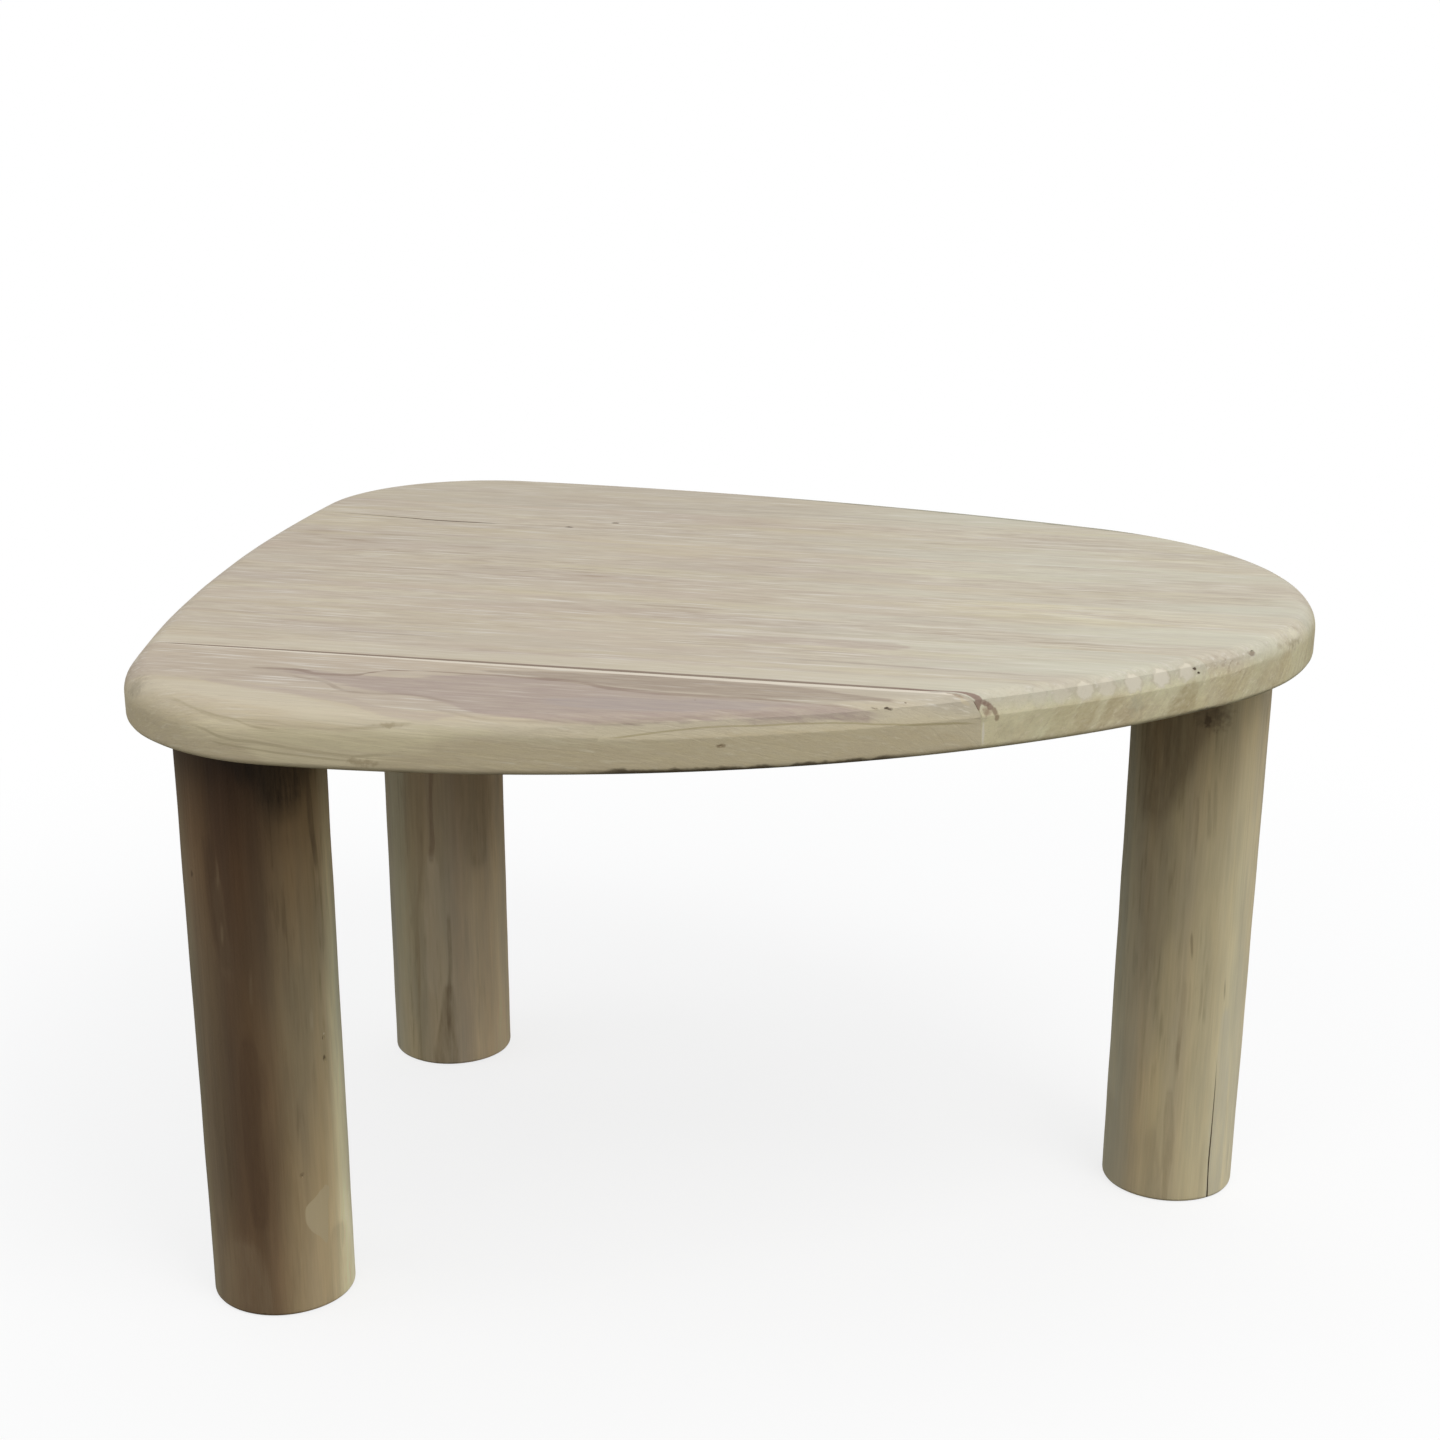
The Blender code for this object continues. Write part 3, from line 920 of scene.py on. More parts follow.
def padSpots():
    spots = []
    for strength, centre in rimPads["places"]:
        length = rimPads["length"] + strength * rimPads["growth"]
        for colour, share, size in rimPads["rings"]:
            sizes = (size * length, size * rimPads["width"], rimPads["height"])
            spots.append((colour, strength * share, rimPads["inner"], rimPads["ragged"], centre, sizes))
    return spots


boardLooks = {
    "front_board": {
        "slant": 1, "pithHeight": [(-400, 120), (-240, 45), (-100, 15), (0, 8), (120, 14), (220, 40)],
        "pith": [(-400, -300), (-200, -300), (0, -285), (200, -262)], "ringWidth": 0.0085, "slow": 0.004,
        "light": (198, 186, 168), "dark": (184, 170, 153), "pink": (178, 162, 149),
        "yellow": (192, 180, 152), "pinkShare": 0.35, "lateShare": 0.2, "yellowShare": 0.2,
        "rimToneAndLight": (1.05, 1.04, 0.95), "paleShare": 0.2, "darkLowerEdge": (-0.02, 0.16, 0.8), "fleckShare": 0.3,
        "warmth": (1, 0.995, 0.985),
        "lines": [
            # the pale sapwood along the front, its brighter band on the shoulder, and a painted highlight on
            # the shoulder at the left
            ((202, 189, 161), 0.75, 15, [(-400, -346, 48), (-298, -349, 54), (-244, -352, 54),
                (-219, -358, 54), (-194, -368, 54), (-151, -378, 54), (-124, -388, 56), (-91, -390, 58),
                (-64, -383, 58), (-11, -377, 58), (28, -362, 58), (76, -343, 58), (133, -315, 58),
                (220, -298, 58)]),
            ((207, 197, 175), 0.5, 6, [(-360, -300, 1), (-298, -303, 5), (-250, -309, 8), (-215, -317, 11),
                (-170, -332, 9), (-130, -341, 5), (-99, -341, 5), (-65, -333, 5), (-31, -329, 5),
                (26, -311, 5), (60, -296, 4), (99, -277, 4), (131, -262, 4), (180, -243, 5)]),
            ((208, 198, 168), 0.55, 3, [(-215, -356, 0), (-179, -356, 4), (-151, -355, 5), (-124, -351, 5),
                (-99, -343, 4), (-60, -336, 0)]),
            ((178, 163, 140), 0.5, 4, [(-340, -352, 0), (-300, -362, 5), (-240, -380, 5), (-160, -382, 4),
                (-60, -372, 3), (60, -330, 2), (200, -280, 0)]),
            # a painted highlight where the rounded shoulder at the left catches the light
            ((224, 213, 186), 0.45, 7, [(-262, -348, 0), (-240, -352, 3), (-215, -356, 5), (-188, -368, 8),
                (-169, -364, 10), (-151, -360, 8), (-119, -354, 5), (-80, -345, 0)]),
            # the brown strip along the seam and the mauve heart
            ((160, 144, 128), 0.8, 3, [(-110, -236, 0), (-70, -236, 5), (-30, -238, 10), (10, -239, 13),
                (55, -239, 13), (95, -241, 10), (125, -243, 4), (150, -243, 0)]),
            ((172, 155, 144), 0.9, 5, [(-240, -262, 0), (-203, -264, 2), (-174, -273, 6), (-148, -277, 12),
                (-120, -274, 21), (-100, -276, 29), (-75, -284, 37), (-50, -285, 35), (-20, -287, 30),
                (0, -286, 26), (28, -283, 19), (50, -278, 15), (76, -274, 11), (100, -268, 7),
                (124, -262, 3), (145, -257, 0)]),
            ((168, 156, 151), 0.5, 6, [(-60, -290, 0), (-20, -286, 9), (30, -280, 9), (60, -274, 5),
                (90, -270, 0)]),
            ((180, 164, 152), 0.55, 3, [(-262, -290, 0), (-251, -291.7, 2), (-223, -298.7, 3),
                (-192, -304.7, 3.5), (-160, -314, 4), (-137, -326, 4), (-109, -331, 3), (-85, -326, 0)]),
            # dark lines round it
            ((146, 126, 111), 0.75, 2.2, [(-246, -259, 0), (-233, -259.5, 0.4), (-213, -258.5, 0.6),
                (-195, -264.2, 0.5), (-176, -263, 0.8), (-163, -251.5, 0.7), (-148, -245.4, 0.5),
                (-129, -244.2, 0.4), (-100, -244.4, 0.6), (-53, -245.5, 1.5), (-33, -250.3, 1.7),
                (-13, -255.9, 1.7), (28, -259.4, 1.2), (67, -258.7, 0.5), (105, -259.6, 0.3),
                (138, -256, 0)]),
            ((150, 132, 117), 0.45, 2.2, [(-216, -267, 0), (-204, -273.8, 0.4), (-185, -280.5, 0.7),
                (-169, -295, 0.6), (-148, -297.4, 0.5), (-131, -294.5, 0.5), (-118, -297.2, 0.6),
                (-100, -302.6, 0.3), (-85, -306, 0)]),
            ((158, 141, 125), 0.4, 2.4, [(-115, -318, 0), (-93, -323.1, 0.5), (-74, -327.5, 0.7),
                (-49, -324.5, 0.7), (-32, -321.5, 0.8), (1, -313.3, 0.8), (22, -305, 0.6),
                (42, -295.7, 0.4), (82, -280, 0.2), (100, -274, 0)]),
            ((150, 138, 106), 0.3, 1.6, [(-270, -321, 0), (-258, -328.3, 0.4), (-241, -338.8, 0.5),
                (-225, -346.1, 0.5), (-194, -348.2, 0.4), (-180, -350, 0.4), (-158, -349.4, 0.4),
                (-146, -347.4, 0.7), (-133, -344.5, 1), (-120, -340.5, 0.6), (-108, -337, 0)]),
            ((158, 144, 114), 0.35, 1, [(-250, -331, 0), (-236, -340.5, 0.2), (-220, -346, 0.3),
                (-205, -352.5, 0.3), (-185, -354, 0)]),
            ((160, 147, 120), 0.4, 1, [(-252, -346, 0), (-239, -352.2, 0.3), (-225, -359.6, 0.4),
                (-202, -362.8, 0.4), (-180, -364.4, 0.4), (-151, -365.1, 0.4), (-133, -362, 0.3),
                (-100, -357, 0)]),
            ((160, 147, 120), 0.45, 0.6, [(-240, -358, 0), (-225, -363.5, 0.3), (-195, -367.6, 0.3),
                (-169, -368.2, 0.4), (-130, -367, 0)]),
            ((160, 147, 112), 0.6, 0.6, [(-10, -328, 0), (2, -323.1, 0.3), (23, -313.6, 0.4),
                (46, -303.2, 0.4), (83, -287.7, 0.4), (115, -273.6, 0.4), (148, -260.6, 0.4),
                (185, -241, 0.3), (193, -237, 0)]),
            # the edge that catches the light along the seam
            ((224, 214, 197), 0.9, 0.8, [(-330, -221, 0), (-300, -221, 0.4), (-180, -221.3, 1.1),
                (-100, -221.8, 1.9), (60, -222.3, 2.3), (165, -221.9, 1.8), (182, -222, 0)]),
        ],
        "spots": [
            ((96, 80, 62), 0.85, 0.3, 0.9, (142, -247.9, 446.3), (5.5, 1.8, 1.3)),
            ((110, 94, 76), 0.7, 0.3, 0.9, (135, -251.2, 446.8), (3.4, 1.3, 1.2)),
            ((134, 114, 86), 0.75, 0.4, 0.6, (56.1, -294.1, 431.9), (5.5, 2, 1.8)),
            ((150, 126, 104), 0.6, 0.3, 0.8, (178, -220.6, 449), (9, 1.4, 2)),
            ((204, 190, 160), 0.7, 0.3, 1.2, (184, -222.6, 446), (6, 1.6, 3)),
            ((152, 134, 100), 0.5, 0.3, 0.7, (-142, -342, 422), (13, 5, 3.5)),
            ((152, 136, 104), 0.5, 0.3, 0.7, (-126, -338, 444), (9, 3.5, 2)),
            ((120, 100, 80), 0.7, 0.5, 0.4, (34, -268.3, 450), (0.9, 0.7, 0.7)),
            ((120, 100, 80), 0.7, 0.5, 0.4, (151, -240, 448.1), (0.9, 0.7, 0.7)),
            # painted light at the left corner: a highlight along the top edge, and below it the painted shade
            # of a sanded facet
            ((206, 198, 180), 0.6, 0.4, 0.5, (-322, -246, 445), (9, 12, 4)),
            ((156, 144, 122), 0.55, 0.2, 0.5, (-298, -292, 442), (16, 15, 8)),
        ],
    },
    "second_board": {
        "ringWidth": 0.0095, "uneven": 1.2, "pinkShare": 0.4, "rimBands": 0.15,
        "rimToneAndLight": (1.15, 1.13, 0.95), "darkLowerEdge": (0.3, 0.345, 0.9),
        "lines": [
            # pale and brown streaks
            ((207, 198, 176), 0.55, 6, [(-360, -204, 2), (-200, -203, 7), (0, -204, 8), (200, -204, 8),
                (260, -204, 6)]),
            ((160, 145, 132), 0.5, 1.6, [(-240, -167, 0), (-200, -165, 0.4), (-120, -165, 0), (30, -166, 0),
                (90, -168, 0.6), (180, -171, 0.4), (240, -173, 0)]),
            ((170, 154, 142), 0.4, 1.6, [(-60, -151, 0), (20, -146, 0.6), (130, -146, 0.4),
                (170, -150, 0)]),
            ((166, 151, 138), 0.45, 1.6, [(-200, -94, 0), (-110, -96, 0.6), (-40, -100, 0.3),
                (30, -104, 0.6), (120, -108, 0)]),
            ((178, 160, 148), 0.55, 4, [(-10, -128, 0), (60, -125, 5), (120, -125, 6), (140, -126, 0)]),
            ((214, 205, 190), 0.6, 1.4, [(-190, -98, 0), (-100, -101, 0.8), (40, -109, 0.8),
                (170, -114, 0.6), (300, -119, 0)]),
            # the dark line along the seam
            ((128, 109, 94), 0.85, 0.8, [(-325, -218.4, 0), (-300, -218.3, 0.5), (-200, -217.9, 1.3),
                (0, -217.5, 1.8), (150, -217.6, 1.6), (165, -217.6, 0.5), (172, -217, 0)]),
            ((136, 110, 98), 0.85, 0.7, [(130, -217.9, 0), (150, -217.7, 0.4), (170, -217, 0.6),
                (182, -216, 0.8), (190, -215, 0.9), (195, -214.2, 0)]),
        ],
        "rimLines": [
            # the brown bands across the rim
            ((172, 155, 126), 0.35, 3, [(224, -175.7, 0), (230, -175.7, 3), (240, -175.4, 3),
                (246, -175.3, 0)]),
            ((170, 153, 124), 0.4, 3, [(238, -164, 0), (244, -164, 3.5), (254, -164.2, 3.5),
                (260, -164.4, 0)]),
            ((168, 151, 122), 0.4, 2.5, [(255, -152.6, 0), (260, -152.6, 2.2), (269, -152.4, 2.2),
                (274, -152.2, 0)]),
            ((160, 144, 112), 0.35, 4, [(292, -112, 0), (299, -111, 4), (308, -106, 5), (313, -103, 0)]),
        ],
        "spots": [
            # the shoulder's pads: wood colour with the painted highlights and shade of the scallops
            *padSpots(),
            # the hook at the seam's end
            ((190, 172, 146), 0.6, 0.2, 1.4, (195.5, -216, 439), (3.5, 2.4, 4)),
            ((156, 134, 110), 0.7, 0.3, 0.4, (195.4, -217, 440), (3.6, 3, 4)),
            ((138, 112, 98), 0.7, 0.5, 0.4, (192, -215.9, 444.6), (5, 2, 2)),
            ((138, 112, 97), 0.75, 0.5, 0.4, (194.6, -215.1, 443.4), (3.6, 2.4, 2.2)),
            ((138, 112, 96), 0.75, 0.5, 0.4, (196.6, -214.6, 441.8), (3.6, 2, 2.6)),
            ((138, 114, 94), 0.75, 0.5, 0.4, (199.6, -213.6, 438.8), (2.6, 2, 3)),
            ((142, 118, 94), 0.7, 0.4, 0.4, (200.6, -213, 435.2), (2, 2, 3)),
            ((150, 138, 106), 0.22, 0.1, 0.5, (207, -210, 426), (11, 9, 9)),
            # the pale edge of the seam on the rim, and chips
            ((226, 218, 200), 0.8, 0.5, 0.3, (193.5, -218.2, 426), (1.6, 0.8, 10)),
            ((92, 76, 60), 0.9, 0.4, 0.7, (309.5, -113.6, 444.5), (3.4, 1.8, 1)),
            ((92, 76, 60), 0.9, 0.4, 0.7, (311.5, -111.9, 441.7), (2.4, 1.5, 0.9)),
            ((180, 176, 152), 0.4, 0.2, 0.5, (277.5, -150, 430), (8, 8, 9)),
        ],
    },
    "third_board": {
        "pinkShare": 0.5, "fleckShare": 0.8, "rimBands": 0.2, "rimToneAndLight": (1.2, 1.19, 1),
        "darkLowerEdge": (0.3, 0.334, 0.9),
        "spots": [
            ((136, 117, 98), 0.7, 0.3, 0.9, (342, -72, 445.6), (5.4, 3.2, 2.4)),
            ((160, 140, 110), 0.4, 0.3, 0.5, (361, -12, 447), (15, 4, 4)),
            ((150, 134, 102), 0.5, 0.4, 0.7, (364, -24, 442), (12, 16, 4)),
            ((222, 214, 190), 0.8, 0.4, 0.6, (366, -19, 445.5), (9, 10, 3.4)),
            ((150, 132, 100), 0.6, 0.4, 0.5, (371, -30, 438), (4, 9, 2)),
            ((150, 132, 100), 0.35, 0.2, 0.5, (357, -44, 444), (12, 5, 3)),
        ],
    },
    "fourth_board": {
        "pinkShare": 0.5, "fleckShare": 0.9,
    },
    "fifth_board": {
        "pinkShare": 0.4, "fleckShare": 0.7,
        "lines": [
            ((98, 82, 66), 0.85, 0.7, [(-372, 176.5, 0), (-330, 172.5, 0.25), (-295, 168.5, 0.6),
                (-266, 164.8, 0.9), (-240, 164.6, 0.8), (-212, 164.8, 0)]),
        ],
        "spots": [
            ((84, 66, 50), 0.9, 0.5, 0.4, (-165, 164.9, 450), (3.8, 2.2, 1.5)),
            ((84, 66, 50), 0.9, 0.5, 0.4, (-135, 186.8, 450), (3.4, 2, 1.5)),
        ],
    },
    "back_board": {
        "pinkShare": 0.25, "yellowShare": 0.25, "light": (206, 199, 182), "dark": (192, 182, 166),
        "lines": [
            ((178, 166, 150), 0.5, 2.5, [(-380, 200, 0), (-340, 205, 0.8), (-250, 225, 1), (-180, 240, 1),
                (-60, 250, 0.8), (50, 248, 0.8), (130, 236, 0.6), (240, 205, 0)]),
            # painted shade along the far edge, where the rim turns away from the light
            ((128, 128, 104), 0.6, 2.5, [(-60, 314, 0), (0, 305.5, 3), (60, 294.5, 4), (120, 281.5, 4),
                (180, 265, 4), (220, 253.5, 3.5), (260, 238.5, 2), (285, 230, 0)]),
        ],
    },
}


def boardMaterial(name, number):
    look = {**boardBase, **boardLooks[name]}
    material, net, shader = newMaterial(name + "_finish")
    place = net.add("TexCoord").outputs["Object"]
    x, y, z = net.xyz(place)
    seed = tuple(number * step for step in look["seedSteps"])
    patch = {key: net.grain(place, settings, number) for key, settings in boardNoises.items()}

    # where the grain runs
    shift = net.group(waver, Place=place, Seed=seed, Slow=look["slow"], Quick=look["quick"],
                      Fine=look["fine"])["Shift"]
    lean = net.times(net.plus(z, -topHeight), look["slant"])
    across = net.plus(net.plus(y, lean), shift)
    steady = net.plus(net.plus(y, lean), net.times(shift, look["markWaver"]))
    reach = lineRules["farthest"]
    bent = {}
    for key in ("pith", "pithHeight"):
        bent[key] = look[key] if not isinstance(look[key], list) else net.curve(
            x, [metres(point) for point in look[key]], -reach, reach, -reach, reach)
    ring = net.group(rings, Across=across, Pith=bent["pith"], Height=bent["pithHeight"],
                     Width=look["ringWidth"], Uneven=look["uneven"], Start=number * look["ringSteps"])
    leaning = net.add("CombineXYZ", x, across, z).outputs[0]
    grain = net.group(fibres, Place=leaning, Seed=seed)

    # the wood's own colours
    broken = look["brokenShare"]
    tone = net.plus(net.times(grain["Broken"], broken), net.times(grain["Streaks"], 1 - broken))
    contrast = net.span(patch["lively"], 0.0, 1.0, *look["contrast"])
    tone = net.plus(net.times(net.centred(tone), contrast), 0.5)
    tone = net.plus(net.times(tone, 1 - look["ringTone"]), net.times(ring["Tone"], look["ringTone"]))
    colour = net.mix(tone, hue(*look["light"]), hue(*look["dark"]))
    for key, mask in (("pink", net.times(grain["Patches"], net.span(x, *look["pinkFade"]))),
                      ("yellow", patch["yellow"]),
                      ("fleck", net.times(grain["Flecks"], patch["clusters"])),
                      ("pale", net.times(patch["pale"], net.span(x, *look["paleRise"])))):
        colour = net.mix(net.times(mask, look[key + "Share"]), colour, hue(*look[key]))
    colour = net.tinted(colour, net.mix(patch["blotches"], *look["blotches"]))
    warmth = net.mix(net.span(x, *look["warmEnds"], smooth=True), look["warmth"], look["cool"])
    colour = net.tinted(colour, warmth)
    colour = net.mix(net.times(grain["Threads"], look["threadShare"]), colour, hue(*look["thread"]))

    # growth rings and bands, which show most on the rim
    rim, side = [net.span(z, topHeight - start, topHeight - end, smooth=True)
                 for start, end in (look["rimDepths"], look["sideDepths"])]
    lateness = net.times(net.span(grain["Broken"], *look["lateBreaks"]),
                         net.math("MULTIPLY_ADD", side, look["rimBands"], look["lateShare"]))
    colour = net.mix(net.times(ring["Late"], lateness), colour, hue(*look["late"]))
    bands = net.noise(leaning, shift=seed, **look["bands"])
    bands = net.times(net.times(bands, side), look["rimBands"] * look["bandShare"])
    colour = net.mix(bands, colour, hue(*look["band"]))

    # the listed marks, fine fibres and pores
    colour = drawLines(net, colour, x, steady, grain, look["lines"], -reach, reach)
    colour = net.mix(side, colour, drawLines(net, colour, x, steady, grain, look["rimLines"], -reach, reach))
    colour = net.mix(net.times(grain["Broken"], look["streakShare"]), colour,
                     net.tinted(colour, look["lastStreaks"]))
    half = look["fibreShade"] / 2
    colour = net.shaded(colour, net.span(grain["Fibre"], 0.0, 1.0, 1 + half, 1 - half))
    colour = net.mix(net.times(grain["Pores"], look["poreShare"]), colour, hue(*look["pore"]))
    # the rim's yellower wood, and painted light that lightens the upright rim
    colour = net.mix(rim, colour, net.tinted(colour, look["rimToneAndLight"]))
    colour = drawSpots(net, colour, place, look["spots"])

    # darker along the ragged lower edge
    start, end, share = look["darkLowerEdge"]
    none, full, rough = look["darkLowerEdgeDepths"]
    darkLowerEdge = net.times(net.span(x, start, start + look["darkLowerEdgeFade"]), net.span(x, end, end - look["darkLowerEdgeFade"]))
    low = net.plus(z, net.times(net.noise(place, (look["darkLowerEdgeNoise"],) * 3, detail=3.0), rough))
    darkLowerEdge = net.times(darkLowerEdge, net.span(low, undersideHeight + none, undersideHeight + full))
    colour = net.mix(net.times(darkLowerEdge, share), colour, hue(*look["darkLowerEdgeColour"]))
    height = net.plus(grain["Fibre"], net.times(ring["Late"], -look["lateSink"]))
    finishWood(net, shader, look, colour, grain["Fibre"], height)
    return material


for number, name in enumerate(boardNames):
    wear(boards[name], boardMaterial(name, number))


